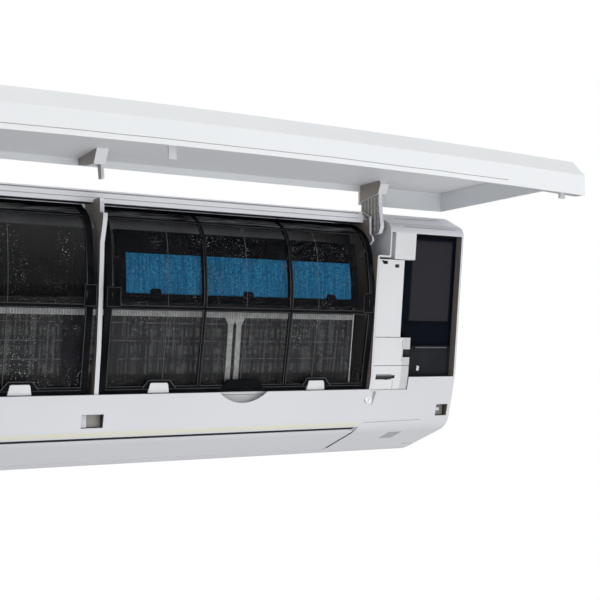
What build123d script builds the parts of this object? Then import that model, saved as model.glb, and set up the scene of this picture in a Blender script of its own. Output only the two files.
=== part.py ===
"""Wall-hung indoor unit of a mini split air conditioner, with its front panel lifted open.

Frame: millimetres, +X to the right along the wall, -Y out of the wall, +Z up. The origin is the
centre of the wall plate's four screw holes, on the wall. Sections are drawn as (y, z) points with
z counted from the underside of the unit, and write() moves each finished piece into the frame.
"""
from build123d import *
from math import atan2, cos, radians, sin
import os

os.makedirs("parts", exist_ok=True)

# ---- casing -------------------------------------------------------------------------------
BODY_WIDTH = 800.0
BODY_HEIGHT = 295.0
WALL_GAP = 1.0
WALL = 2.5
SHOULDER_START = 168.0
FRONT_DEPTH = 206.0
SHOULDER_HEIGHT = 276.0
CHIN_DEPTH = 186.0
CHIN_HEIGHT = 100.0
LIP_DEPTH = 169.0
LIP_HEIGHT = 37.0
BELLY_DEPTH = 72.0
OUTLINE_RADII = (3.0, 26.0, 12.0, 60.0, 28.0, 80.0, 3.0)
CHASSIS_GAP = 0.4
CHASSIS_WALL = 3.0
BACK_DEPTH = 12.0

# ---- wall plate ---------------------------------------------------------------------------
PLATE_HEIGHT = 180.0
PLATE_WIDTH = 560.0
PLATE_TALL = 180.0
PLATE_SHEET = 1.2
PLATE_HOLE_ACROSS = 450.0
PLATE_HOLE_UP = 120.0
PLATE_HOLE_RADIUS = 3.0
PLATE_HOOK_WIDTH = 24.0
PLATE_HOOK_REACH = 7.0
PLATE_HOOK_SPAN = 420.0
PLATE_BEAD_DEPTH = 3.0
PLATE_BEAD_TALL = 14.0
PLATE_BEAD_INSET = 20.0
PLATE_BEAD_PLACES = (-23.0, 23.0)

# ---- filter openings and filters -----------------------------------------------------------
END_MARGIN = 23.0
MACHINE_SPACE = 123.0
OPENING_LEFT = -BODY_WIDTH / 2 + END_MARGIN
OPENING_RIGHT = BODY_WIDTH / 2 - MACHINE_SPACE
DIVIDER_SHIFT = 0.75
DIVIDER_CENTRE = (OPENING_LEFT + OPENING_RIGHT) / 2 - DIVIDER_SHIFT
DIVIDER_THICK = 4.5
DIVIDER_FRONT = (
    (-192.0, 300.0),
    (-192.0, 269.0),
    (-203.0, 267.0),
    (-203.0, 262.0),
    (-199.0, 250.0),
    (-194.0, 238.0),
    (-193.5, 225.0),
    (-191.0, 180.0),
    (-186.5, 130.0),
    (-180.5, 92.0),
    (-179.5, 84.0),
)
HOOK_LANE = 6.5
DIVIDER_GAP = 1.5
OPENING_BOTTOM = 84.0
OPENING_TOP = 282.0
RIM_FACE = 167.0
SIDE_WALL = 2.5
SIDE_WALL_PAST_FILTER = 9.0
RIGHT_WALL_PAST_FILTER = 45.0
FILTER_GAP = 0.8
FILTER_CURVE = ((-168.5, 54.0), (-198.0, 190.0), (-187.5, 263.0), (-70.0, 321.0))
FILTER_RADII = (150.0, 45.0)
FILTER_THICK = 4.0
FILTER_BORDER = 7.0
FILTER_RIB = 3.0
FILTER_RIBS = 2
FILTER_BAR = 3.5
FILTER_BAR_HEIGHT = 171.5
FILTER_TOP_BAR = 2.5
FILTER_TOP_BAR_HEIGHT = 266.0
FILTER_TOP_BORDER = 4.0
FILTER_SILL_GAP = 0.6
FILTER_RIM_GAP = 0.4
MESH_THICK = 0.8
MESH_DEPTH = 1.6
TAB_WIDTH = 22.0
TAB_TALL = 10.0
TAB_PROUD = 2.5
TAB_SHARES = (0.197, 0.785)
THUMB_RADIUS = 41.0
THUMB_DEEP = 12.0

# ---- purifier pads -------------------------------------------------------------------------
PAD_LOW = 188.0
PAD_HIGH = 230.0
PAD_DEPTH = 5.2
PAD_THICK = 6.0
PAD_INSET = 1.2
PAD_LEFT_INSET = 16.0
PAD_RIGHT_INSET = 22.0
PAD_GAP = 0.3
HOLDER_TOP = 24.0
HOLDER_BOTTOM = 8.0
HOLDER_END = 9.0

# ---- heat exchanger ------------------------------------------------------------------------
COIL_LEFT = OPENING_LEFT + 11.0
COIL_RIGHT = OPENING_RIGHT - 21.0
COIL_THICK = 22.0
COIL_SLABS = (
    ((-166.0, 86.0), (-180.0, 182.0)),
    ((-178.0, 196.0), (-112.0, 262.0)),
    ((-88.0, 266.0), (-30.0, 194.0)),
)
END_PLATE = 1.5
END_PLATE_LIP = 2.0
TUBE_RADIUS = 3.5
TUBE_PITCH = 21.0
TUBE_EDGE = 9.0
TUBE_CLEARANCE = 0.05
STRIP_WIDTH = 6.0
STRIP_PITCH = 10.0
STRIP_X = 105.0
STRIP_THICK = 1.5
STRIP_FLARE = 4.0
COIL_BAR_LOW = 80.0
COIL_BAR_TALL = 6.0

# ---- cross-flow fan ------------------------------------------------------------------------
FAN_DEPTH = 95.0
FAN_HEIGHT = 125.0
FAN_RADIUS = 44.0
FAN_LEFT = OPENING_LEFT + 15.0
FAN_RIGHT = OPENING_RIGHT - 21.0
FAN_BLADES = 24
FAN_DISCS = 7
FAN_DISC_THICK = 2.5
BLADE_INNER_RADIUS = 33.0
BLADE_THICK = 1.4
BLADE_SWEEP = 24.0
SHAFT_RADIUS = 4.0
SHAFT_CLEARANCE = 0.06
HUB_RADIUS = 11.0
BEARING_RADIUS = 14.0
BEARING_LENGTH = 10.0
MOTOR_RADIUS = 42.0
MOTOR_LEFT = OPENING_RIGHT + 5.0
MOTOR_LENGTH = 70.0
CRADLE_BOTTOM = 72.0
SCROLL_GAP = 6.0
SCROLL_WALL = 2.5

# ---- outlet, drain pan, vanes and flap -----------------------------------------------------
OUTLET_LEFT = OPENING_LEFT + 9.0
OUTLET_RIGHT = OPENING_RIGHT - 9.0
OUTLET_FRONT = 166.5
OUTLET_BACK = 89.5
FLAP_SIDE_GAP = 1.0
FLAP_FRONT_GAP = 3.0
FLAP_BACK_GAP = 3.0
FLAP_THICK = 3.0
FLAP_PIVOT_DEPTH = 100.0
FLAP_PIVOT_HEIGHT = 20.0
FLAP_PIN_RADIUS = 3.0
FLAP_PIN_CLEARANCE = 0.06
FLAP_EAR = 2.5
FLAP_EAR_RADIUS = 6.0
CHEEK_THICK = 3.0
PAN_WALL = 2.0
VANES_PER_GROUP = 5
VANE_END_SPACE = 8.0
VANE_PITCH = ((OUTLET_RIGHT - OUTLET_LEFT) / 2 - VANE_END_SPACE) / VANES_PER_GROUP
VANE_THICK = 1.5
VANE_LENGTH = 34.0
VANE_REACH = 46.0
VANE_PIN_RADIUS = 2.0
VANE_PIN_CLEARANCE = 0.06
VANE_LIFT = 36.0
VANE_FOOT = 1.0
RAIL_THICK = 4.0
RAIL_WIDTH = 12.0
LINK_ARM = 11.0
LINK_WIDTH = 5.0
LINK_THICK = 2.0
LINK_PLACE = 9.3
LINK_PEG_RADIUS = 1.2

# ---- front panel ---------------------------------------------------------------------------
PANEL_OVERHANG = 4.0
PANEL_WIDTH = BODY_WIDTH + 2 * PANEL_OVERHANG
PANEL_WALL = 2.5
PANEL_BACK = 155.5
PANEL_FRONT = 403.0
PANEL_BACK_TOP = 331.0
PANEL_CROWN_END = 333.0
PANEL_CROWN_MIDDLE = 343.5
PANEL_CROWN_START = 176.0
PANEL_CROWN_STOP = 300.0
PANEL_NOSE_END = 330.0
PANEL_NOSE_MIDDLE = 336.0
PANEL_NOSE_LENGTH = 17.0
PANEL_NOSE_DROP = 17.0
PANEL_CEILING = 328.0
LINER_THICK = 1.5
LINER_GAP = 0.3
PANEL_LIP_END = 292.0
PANEL_LIP_MIDDLE = 298.0
PANEL_SKIRT_BOTTOM = 305.0
PANEL_FLANGE_BOTTOM = 321.0
PANEL_SLOPE_START = 341.0
PANEL_PIVOT_DEPTH = 165.0
PANEL_PIVOT_HEIGHT = 282.5
ARM_THICK = 5.0
ARM_OFFSET = 8.0
ARM_RIGHT = OPENING_RIGHT + ARM_OFFSET
ARM_LEFT = OPENING_LEFT - ARM_OFFSET
ARM_RIB_PITCH = 7.0
ARM_RIB = 1.2
ARM_WEB = 2.4
ARM_SIDE_GAP = 0.6
HINGE_PIN_RADIUS = 3.0
HINGE_PIN_CLEARANCE = 0.06
HINGE_EAR = 2.0
HINGE_EAR_RADIUS = 7.0
HOOK_X = DIVIDER_CENTRE - DIVIDER_THICK / 2 - HOOK_LANE / 2 - 0.75
HOOK_THICK = 3.0
BOSS_INNER = 4.6
BOSS_OUTER = 7.0
POCKET_INNER = 5.5
POCKET_OUTER = 8.5
POCKET_BACK = 17.0
POCKET_BELOW = 42.0
POCKET_WALL = 2.0
HOOK_BOSS = 12.0
PEG_WIDTH = 7.0
PEG_THICK = 3.0
PEG_DEPTH = 388.0
PEG_BOTTOM = 289.5
PEG_X = (-PANEL_WIDTH / 2 + 18.0, DIVIDER_CENTRE - DIVIDER_THICK / 2, PANEL_WIDTH / 2 - 17.0)
CATCH_WIDTHS = (17.0, 23.0, 17.0)
CATCH_LOW = 50.0
CATCH_HIGH = 64.0

# ---- wiring bay ----------------------------------------------------------------------------
BAY_LEFT = OPENING_RIGHT + 45.0
BAY_RIGHT = BODY_WIDTH / 2 - WALL
BAY_BOTTOM = 98.0
BAY_TOP = 268.0
COVER_LEFT = OPENING_RIGHT + SIDE_WALL
COVER_RIGHT = BAY_LEFT - 6.0
COVER_RECESS = 1.5
COVER_GAP = 0.3
COVER_WING = 15.0
WALL_NOTCH = (
    (-210.0, 239.0),
    (-181.0, 242.0),
    (-181.0, 253.0),
    (-190.0, 258.0),
    (-189.0, 263.0),
    (-184.0, 267.0),
    (-184.0, 296.0),
)
WIRE_COVER_LOW = 145.5
WIRE_COVER_HIGH = 236.0
LOWER_COVER_LOW = 112.0
LOWER_COVER_HIGH = 144.8
COVER_THICK = 2.0
WIRE_COVER_DEEP = 18.0
CLIP_NOTCH_LOW = 121.5
CLIP_NOTCH_HIGH = 131.0
SEAT_LOW = 83.0
SEAT_DEEP = 28.0
SEAT_WING_DEEP = 6.0
HINGE_COVER_DEEP = 13.0
BUTTON_WIDTH = 22.0
BUTTON_LOW = 95.5
BUTTON_SLOT = 6.0
BUTTON_TALL = 3.2
BUTTON_DEEP = 9.0
BUTTON_TRAVEL = 1.5
BUTTON_GAP = 0.3
BUTTON_INSET = 5.0
HINGE_COVER_LEFT = ARM_RIGHT + 17.0
HINGE_COVER_RIGHT = BAY_LEFT + 9.0
HINGE_COVER_LOW = 237.0
HINGE_COVER_HIGH = 268.0
BAY_DEPTHS = (-FRONT_DEPTH - 14.0, -FRONT_DEPTH + 86.0)
BOX_WALL = 2.0
BOX_RECESS = 10.0
BOX_DEPTH = 34.0
BOX_LOW = 162.0
LABEL_LEFT = BAY_LEFT + 12.0
RIDGE_HEIGHT = 134.0
WEDGE_WIDTH = 13.0
WEDGE_PROUD = 1.2
WEDGE_LOW_TOP = 140.0
WEDGE_HIGH_TOP = 151.0
TERMINAL_LOW = 104.0
TERMINAL_WAYS = 4
TERMINAL_PITCH = 12.0
TERMINAL_SCREW_RADIUS = 3.0
BOARD_THICK = 1.6

# ---- small pieces --------------------------------------------------------------------------
SCREW_RADIUS = 4.0
SCREW_HEAD = 2.0
SCREW_SHANK_RADIUS = 1.8
SCREW_LENGTH = 10.0
SCREW_X = (OPENING_LEFT + 12.0, OPENING_RIGHT)
SCREW_HEIGHT = 72.0
WINDOW_WIDTH = 18.0
WINDOW_X = BAY_LEFT + 12.0
WINDOW_PLACE = (41.0, 67.0)
SPIGOT_RADIUS = 9.0
SPIGOT_BORE = 7.0
SPIGOT_LENGTH = 18.0
SPIGOT_PLACE = (-84.0, 55.0)
GAS_PIPE_RADIUS = 4.8
LIQUID_PIPE_RADIUS = 3.2
FLARE_NUT_LENGTH = 16.0
FLARE_NUT_WALL = 2.2
UNION_LENGTH = 14.0
GAS_UNION_RADIUS = 7.9
LIQUID_UNION_RADIUS = 5.6
PIPE_X = (OUTLET_RIGHT + 32.0, BODY_WIDTH / 2 - 50.0)
PIPE_DEPTH = 34.0
GAS_PIPE_HEIGHT = 27.0
LIQUID_PIPE_HEIGHT = 54.0
PIPE_CLIP_X = 322.0
PORT_DEPTHS = (17.0, 100.0)
PORT_HEIGHTS = (10.0, 72.0)

HALF = BODY_WIDTH / 2
UNIT_DROP = Location((0, 0, -PLATE_HEIGHT))


def write(name, shape):
    """Export one piece, moved from the drawing height into the wall plate's frame."""
    moved = UNIT_DROP * shape
    moved.label = name
    export_step(moved, f"parts/{name}.step")


def block(x_range, y_range, z_range):
    """A box given by its low and high corner along each axis."""
    ranges = (x_range, y_range, z_range)
    middle = [(low + high) / 2 for low, high in ranges]
    size = [high - low for low, high in ranges]
    return Pos(*middle) * Box(*size)


def along_x(face, x_range):
    """Run a section, drawn in the (y, z) plane at x = 0, between two x places."""
    return Pos(x_range[0], 0, 0) * extrude(face, amount=x_range[1] - x_range[0], dir=(1, 0, 0))


def section(points):
    """A straight-sided section from (y, z) points."""
    return make_face(Polyline(*[(0, y, z) for y, z in points], close=True))


def slab(points, x_range):
    """A straight-sided section run along x."""
    return along_x(section(points), x_range)


def rod(radius, x_range, y, z):
    """A round bar along x."""
    length = x_range[1] - x_range[0]
    middle = (x_range[0] + x_range[1]) / 2
    return Pos(middle, y, z) * Rot(0, 90, 0) * Cylinder(radius, length)


def outline():
    """The casing's outer section: flat back, sloped shoulder, leaning front, belly with the flap."""
    corners = (
        (-WALL_GAP, BODY_HEIGHT),
        (-SHOULDER_START, BODY_HEIGHT),
        (-FRONT_DEPTH, SHOULDER_HEIGHT),
        (-CHIN_DEPTH, CHIN_HEIGHT),
        (-LIP_DEPTH, LIP_HEIGHT),
        (-BELLY_DEPTH, 0.0),
        (-WALL_GAP, 0.0),
    )
    points = [(0, y, z) for y, z in corners]
    return make_face(FilletPolyline(*points, radius=list(OUTLINE_RADII), close=True))


def filter_region():
    """The section behind the filters' curved front, closed far behind it."""
    points = [(0, y, z) for y, z in FILTER_CURVE]
    front = FilletPolyline(*points, radius=list(FILTER_RADII))
    low, high = FILTER_CURVE[0], FILTER_CURVE[-1]
    rear_high, rear_low = (0, -20, high[1] + 30), (0, -20, low[1] - 30)
    back = Polyline((0, *high), rear_high, rear_low, (0, *low))
    return make_face([*front.edges(), *back.edges()])


OUTLINE = outline()
FILTER_REGION = filter_region()


def inside(face, depth):
    """The section that lies at least this deep behind a section's edge."""
    return offset(face, amount=-depth) if depth else face


def band(face, depths, x_range):
    """The layer between two depths behind a section's edge, run along x."""
    return along_x(inside(face, depths[0]), x_range) - along_x(inside(face, depths[1]), x_range)


def front_y(face_corners, height):
    """The y of a straight-sided front at a height, from its (y, z) corners."""
    for (y0, z0), (y1, z1) in zip(face_corners, face_corners[1:]):
        if min(z0, z1) <= height <= max(z0, z1):
            return y0 + (y1 - y0) * (height - z0) / (z1 - z0)
    return face_corners[-1][0]


FRONT_LINE = (
    (-FRONT_DEPTH, SHOULDER_HEIGHT),
    (-CHIN_DEPTH, CHIN_HEIGHT),
    (-LIP_DEPTH, LIP_HEIGHT),
)
LEFT_FILTER = (OPENING_LEFT + FILTER_GAP, DIVIDER_CENTRE - DIVIDER_THICK / 2 - HOOK_LANE)
RIGHT_FILTER = (DIVIDER_CENTRE + DIVIDER_THICK / 2 + DIVIDER_GAP, OPENING_RIGHT - FILTER_GAP)
PIVOT = (-PANEL_PIVOT_DEPTH, PANEL_PIVOT_HEIGHT)
FLAP_PIVOT = (-FLAP_PIVOT_DEPTH, FLAP_PIVOT_HEIGHT)
FAN = (-FAN_DEPTH, FAN_HEIGHT)
SLOPE = atan2(LIP_HEIGHT, LIP_DEPTH - BELLY_DEPTH)
ACROSS_DUCT = (-cos(SLOPE), sin(SLOPE))
DOWN_DUCT = (-sin(SLOPE), -cos(SLOPE))


def duct_point(across, up):
    """A (y, z) point in the outlet duct: across from its back edge, up from its mouth."""
    foot_z = LIP_HEIGHT * (OUTLET_BACK - BELLY_DEPTH) / (LIP_DEPTH - BELLY_DEPTH)
    y = -OUTLET_BACK + ACROSS_DUCT[0] * across - DOWN_DUCT[0] * up
    z = foot_z + ACROSS_DUCT[1] * across - DOWN_DUCT[1] * up
    return y, z


DUCT_WALL = (
    (-FAN_DEPTH - duct_point(0, 0)[0]) * ACROSS_DUCT[0]
    + (FAN_HEIGHT - duct_point(0, 0)[1]) * ACROSS_DUCT[1]
    - FAN_RADIUS
    - SCROLL_GAP
)
RAIL_BACK = DUCT_WALL + 0.25
RAIL_FACE = RAIL_BACK + RAIL_THICK
VANE_ROOT = RAIL_FACE + VANE_FOOT


# ---- casing pieces ---------------------------------------------------------------------------
def side_cheek(x_range, past_filter):
    """A plate beside a filter, from the casing's front to some way behind the filter."""
    plate = along_x(OUTLINE, x_range)
    plate -= along_x(inside(FILTER_REGION, past_filter), (x_range[0] - 1, x_range[1] + 1))
    window = block(x_range, (-FRONT_DEPTH - 5, -140), (OPENING_BOTTOM - WALL, OPENING_TOP + WALL))
    return plate & window


def filter_cut(x_range):
    """What is cut from the casing for one filter, under the rim of the top."""
    tall = block(x_range, (-FRONT_DEPTH - 20, -RIM_FACE), (OPENING_BOTTOM, BODY_HEIGHT + 20))
    under = block(x_range, (-RIM_FACE - 1, -RIM_FACE + 30), (OPENING_BOTTOM, OPENING_TOP))
    return tall + under


def in_front_of(profile, x_range):
    """The space in front of a (y, z) profile, between two x places."""
    ahead = -FRONT_DEPTH - 20
    return slab((*profile, (ahead, profile[-1][1]), (ahead, profile[0][1])), x_range)


def beside(centre, inner, outer):
    """The x range about a panel arm, given towards the divider and away from it."""
    if centre > DIVIDER_CENTRE:
        return centre - inner, centre + outer
    return centre - outer, centre + inner


def arm_pocket(centre):
    """The slot in the shoulder in which a panel arm swings."""
    return block(
        beside(centre, POCKET_INNER, POCKET_OUTER),
        (-FRONT_DEPTH - 20, -PANEL_PIVOT_DEPTH + POCKET_BACK),
        (PANEL_PIVOT_HEIGHT - POCKET_BELOW, BODY_HEIGHT + 20),
    )


def pocket_lining():
    """The right pocket's floor, its right wall and the recessed plate beside the hinge cover."""
    wall_x = ARM_RIGHT + POCKET_OUTER
    low = PANEL_PIVOT_HEIGHT - POCKET_BELOW
    front = along_x(OUTLINE, (COVER_LEFT - SIDE_WALL, HINGE_COVER_LEFT))
    back = -PANEL_PIVOT_DEPTH + POCKET_BACK + HINGE_EAR + COVER_GAP
    depths = (-FRONT_DEPTH, back)
    lining = block((COVER_LEFT - 1, wall_x + POCKET_WALL), depths, (low - POCKET_WALL, low))
    lining += block((wall_x, wall_x + POCKET_WALL), depths, (low - POCKET_WALL, BODY_HEIGHT - 1))
    lining += front_box(
        (wall_x, HINGE_COVER_LEFT - COVER_GAP),
        (low - POCKET_WALL, BAY_TOP + 1),
        (HINGE_COVER_DEEP - POCKET_WALL, HINGE_COVER_DEEP),
    )
    return lining & front


def thumb_notch(filter_range):
    """The round notch in the sill under a filter's middle."""
    x = (filter_range[0] + filter_range[1]) / 2
    drum_z = OPENING_BOTTOM - THUMB_DEEP + THUMB_RADIUS
    drum = Pos(x, -CHIN_DEPTH, drum_z) * Rot(90, 0, 0) * Cylinder(THUMB_RADIUS, 26)
    return drum & block((x - 60, x + 60), (-220, -150), (0, OPENING_BOTTOM + 0.1))


def catch_hole(x, width):
    """The hole in the chin that takes a peg of the closed panel."""
    x_range = (x - width / 2, x + width / 2)
    return block(x_range, (-CHIN_DEPTH - 10, -CHIN_DEPTH + 25), (CATCH_LOW, CATCH_HIGH))


def front_frame():
    """The moulded casing: top, front, ends and belly, with its openings and the filter divider."""
    whole = (-HALF, HALF)
    hollow = (-HALF + WALL, HALF - WALL)
    casing = along_x(OUTLINE, whole) - along_x(inside(OUTLINE, WALL), hollow)
    casing -= block(hollow, (-BACK_DEPTH, 5), (WALL, BODY_HEIGHT - WALL))
    casing -= filter_cut((OPENING_LEFT, OPENING_RIGHT))
    casing -= block(
        (OUTLET_LEFT, OUTLET_RIGHT), (-OUTLET_FRONT, -OUTLET_BACK), (-5, LIP_HEIGHT + 5)
    )
    casing -= block((COVER_LEFT, BAY_RIGHT), (-FRONT_DEPTH - 20, -150), (BAY_BOTTOM, BAY_TOP))
    casing -= block(
        (COVER_LEFT, COVER_RIGHT + COVER_WING), (-FRONT_DEPTH - 20, -150), (SEAT_LOW, BAY_TOP)
    )
    casing -= block(
        (HALF - 20, HALF + 1), (-PORT_DEPTHS[1], -PORT_DEPTHS[0]), PORT_HEIGHTS
    )
    casing -= block(
        (OPENING_LEFT, OPENING_RIGHT), (-RIM_FACE + 12, -30), (BODY_HEIGHT - 10, BODY_HEIGHT + 5)
    )
    for centre in (ARM_LEFT, ARM_RIGHT):
        casing -= arm_pocket(centre)
    for x, width in zip(PEG_X, CATCH_WIDTHS):
        casing -= catch_hole(x, width)
    casing -= window_prism(0.3)
    casing += side_cheek((OPENING_LEFT - SIDE_WALL, OPENING_LEFT), SIDE_WALL_PAST_FILTER)
    casing += side_cheek((OPENING_RIGHT, OPENING_RIGHT + SIDE_WALL), RIGHT_WALL_PAST_FILTER)
    casing -= in_front_of(WALL_NOTCH, (OPENING_RIGHT - 0.1, COVER_LEFT + 0.1))
    casing += pocket_lining()
    casing += divider()
    casing += frame_ledges()
    casing -= thumb_notch(LEFT_FILTER)
    casing -= thumb_notch(RIGHT_FILTER)
    for x in SCREW_X:
        casing -= screw_hole(x)
    return casing


def divider():
    """The filter divider, with the wave of its front edge."""
    half = DIVIDER_THICK / 2
    x_range = (DIVIDER_CENTRE - half, DIVIDER_CENTRE + half)
    plate = side_cheek(x_range, SIDE_WALL_PAST_FILTER)
    return plate - in_front_of(DIVIDER_FRONT, (x_range[0] - 1, x_range[1] + 1))


def frame_ledges():
    """The ledge under the filters and the stepped rim over them."""
    x_range = (OPENING_LEFT - SIDE_WALL, OPENING_RIGHT + SIDE_WALL)
    ledge = along_x(OUTLINE, x_range)
    ledge -= along_x(inside(FILTER_REGION, 4.0), (x_range[0] - 1, x_range[1] + 1))
    ledge &= block(x_range, (-FRONT_DEPTH, -150), (OPENING_BOTTOM - WALL, OPENING_BOTTOM))
    rim = block(x_range, (-RIM_FACE - 1.5, -RIM_FACE + 1), (OPENING_TOP, BODY_HEIGHT))
    rim += block(x_range, (-RIM_FACE - 2.5, -RIM_FACE), (OPENING_TOP, OPENING_TOP + 4))
    return ledge + rim


def intake_grille():
    """The slats over the intake in the top, tied by cross bars and dropped into its cut-out."""
    x_range = (OPENING_LEFT + 0.5, OPENING_RIGHT - 0.5)
    y_low, y_high = -RIM_FACE + 12.5, -30.5
    z_range = (BODY_HEIGHT - WALL, BODY_HEIGHT)
    grille = block(x_range, (y_low, y_low + 4), z_range)
    grille += block(x_range, (y_high - 4, y_high), z_range)
    slats = 10
    pitch = (y_high - y_low - 4) / (slats + 1)
    for i in range(1, slats + 1):
        y = y_low + 2 + i * pitch
        grille += block(x_range, (y - 1, y + 1), (BODY_HEIGHT - 7, BODY_HEIGHT))
    bars = 9
    for i in range(bars):
        x = x_range[0] + 2 + i * (x_range[1] - x_range[0] - 4) / (bars - 1)
        grille += block((x - 2, x + 2), (y_low, y_high), (BODY_HEIGHT - 6, BODY_HEIGHT - 1))
    return grille


def scroll_section():
    """The curved wall behind the fan, from the rear coil down to the outlet's back edge."""
    inner = FAN_RADIUS + SCROLL_GAP
    outer = inner + SCROLL_WALL
    y, z = FAN
    start, end = radians(60), -SLOPE
    middle = (start + end) / 2
    front_foot = duct_point(DUCT_WALL, WALL + 0.5)
    back_foot = duct_point(DUCT_WALL - SCROLL_WALL, WALL + 0.5)

    def at(radius, angle):
        return (0, y + radius * cos(angle), z + radius * sin(angle))

    edges = [
        ThreePointArc(at(inner, start), at(inner, middle), at(inner, end)),
        Line(at(inner, end), (0, *front_foot)),
        Line((0, *front_foot), (0, *back_foot)),
        Line((0, *back_foot), at(outer, end)),
        ThreePointArc(at(outer, end), at(outer, middle), at(outer, start)),
        Line(at(outer, start), at(inner, start)),
    ]
    return make_face(edges)


def rear_chassis():
    """The base moulding: back wall, scroll, fan cheeks, motor cradle and the coil's rear shelf."""
    x_low, x_high = -HALF + WALL + CHASSIS_GAP, HALF - WALL - CHASSIS_GAP
    z_low, z_high = WALL + CHASSIS_GAP, BODY_HEIGHT - WALL - CHASSIS_GAP
    back = (-BACK_DEPTH - CHASSIS_WALL, -BACK_DEPTH)
    chassis = block((x_low, x_high), back, (z_low, z_high))
    chassis += along_x(scroll_section(), (OUTLET_LEFT - 1, OUTLET_RIGHT + 1))
    for x in (OUTLET_LEFT - 1, (OUTLET_LEFT + OUTLET_RIGHT) / 2, OUTLET_RIGHT - 2):
        rib = block((x, x + CHASSIS_WALL), (-60, -BACK_DEPTH), (z_low, 150))
        rib -= rod(FAN_RADIUS + SCROLL_GAP + 1, (x - 1, x + 5), *FAN)
        rib -= duct_space((x - 1, x + 5))
        chassis += rib
    chassis += block((OUTLET_LEFT - 1, OUTLET_RIGHT + 1), (-60, -BACK_DEPTH), (z_low, z_low + 3))
    chassis += fan_cheek((OUTLET_LEFT - 1 - CHASSIS_WALL, OUTLET_LEFT - 1), BEARING_RADIUS)
    chassis += fan_cheek((OUTLET_RIGHT + 1, OUTLET_RIGHT + 1 + CHASSIS_WALL), HUB_RADIUS + 1)
    chassis += motor_cradle()
    shelf_y = COIL_SLABS[2][1][0]
    chassis += block((COIL_LEFT, COIL_RIGHT), (shelf_y - 26, -BACK_DEPTH), (176, 180))
    chassis += block((COIL_LEFT, COIL_RIGHT), (shelf_y - 26, shelf_y - 24), (176, 186))
    chassis += block((x_low, x_high), (-28, -BACK_DEPTH), (z_high - 3, z_high))
    chassis += plate_catches()
    chassis += pipe_clips()
    return chassis


def duct_space(x_range):
    """The space in front of the duct's back wall, which the ribs leave free."""
    corners = (
        duct_point(DUCT_WALL - 0.5, -10),
        duct_point(DUCT_WALL - 0.5, 100),
        duct_point(90, 100),
        duct_point(90, -10),
    )
    return slab(corners, x_range)


def plate_catches():
    """The catches on the chassis's back that hang on the wall plate's hooks."""
    top = PLATE_HEIGHT + PLATE_TALL / 2
    catches = None
    for x in (-PLATE_HOOK_SPAN / 2, PLATE_HOOK_SPAN / 2):
        x_range = (x - PLATE_HOOK_WIDTH / 2 - 4, x + PLATE_HOOK_WIDTH / 2 + 4)
        bridge = block(x_range, (-BACK_DEPTH, -PLATE_SHEET - 0.5), (top + 9, top + 12))
        lip_y = (-PLATE_HOOK_REACH + PLATE_SHEET + 0.3, -PLATE_SHEET - 0.5)
        lip = block(x_range, lip_y, (top + 0.3, top + 10))
        catch = bridge + lip
        catches = catch if catches is None else catches + catch
    return catches


def pipe_clips():
    """The saddles on the back wall that hold the refrigerant pipes."""
    clips = None
    for radius, z in ((GAS_PIPE_RADIUS, GAS_PIPE_HEIGHT), (LIQUID_PIPE_RADIUS, LIQUID_PIPE_HEIGHT)):
        x_range = (PIPE_CLIP_X, PIPE_CLIP_X + 6)
        clip = block(x_range, (-PIPE_DEPTH, -BACK_DEPTH), (z - radius - 2, z + radius + 2))
        clip -= rod(radius + 0.1, (PIPE_CLIP_X - 1, PIPE_CLIP_X + 7), -PIPE_DEPTH, z)
        clips = clip if clips is None else clips + clip
    return clips


def fan_cheek(x_range, hole_radius):
    """An upright plate at one end of the fan, with a hole for the bearing or the hub."""
    plate = block(x_range, (-138, -BACK_DEPTH), (COIL_SLABS[0][0][1] - 11.7, 174))
    return plate - rod(hole_radius, (x_range[0] - 1, x_range[1] + 1), *FAN)


def motor_cradle():
    """The half-round seat under the fan motor, on two ribs from the back wall."""
    outer_x = (MOTOR_LEFT + 8, MOTOR_LEFT + MOTOR_LENGTH - 8)
    inner_x = (outer_x[0] + 6, outer_x[1] - 6)
    front = FAN[0] - MOTOR_RADIUS - 3
    seat = block(outer_x, (front, -BACK_DEPTH), (CRADLE_BOTTOM, FAN_HEIGHT))
    seat -= block(inner_x, (front - 1, -BACK_DEPTH - 3), (50, 200))
    return seat - rod(MOTOR_RADIUS, (MOTOR_LEFT, MOTOR_LEFT + MOTOR_LENGTH), *FAN)


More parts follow.
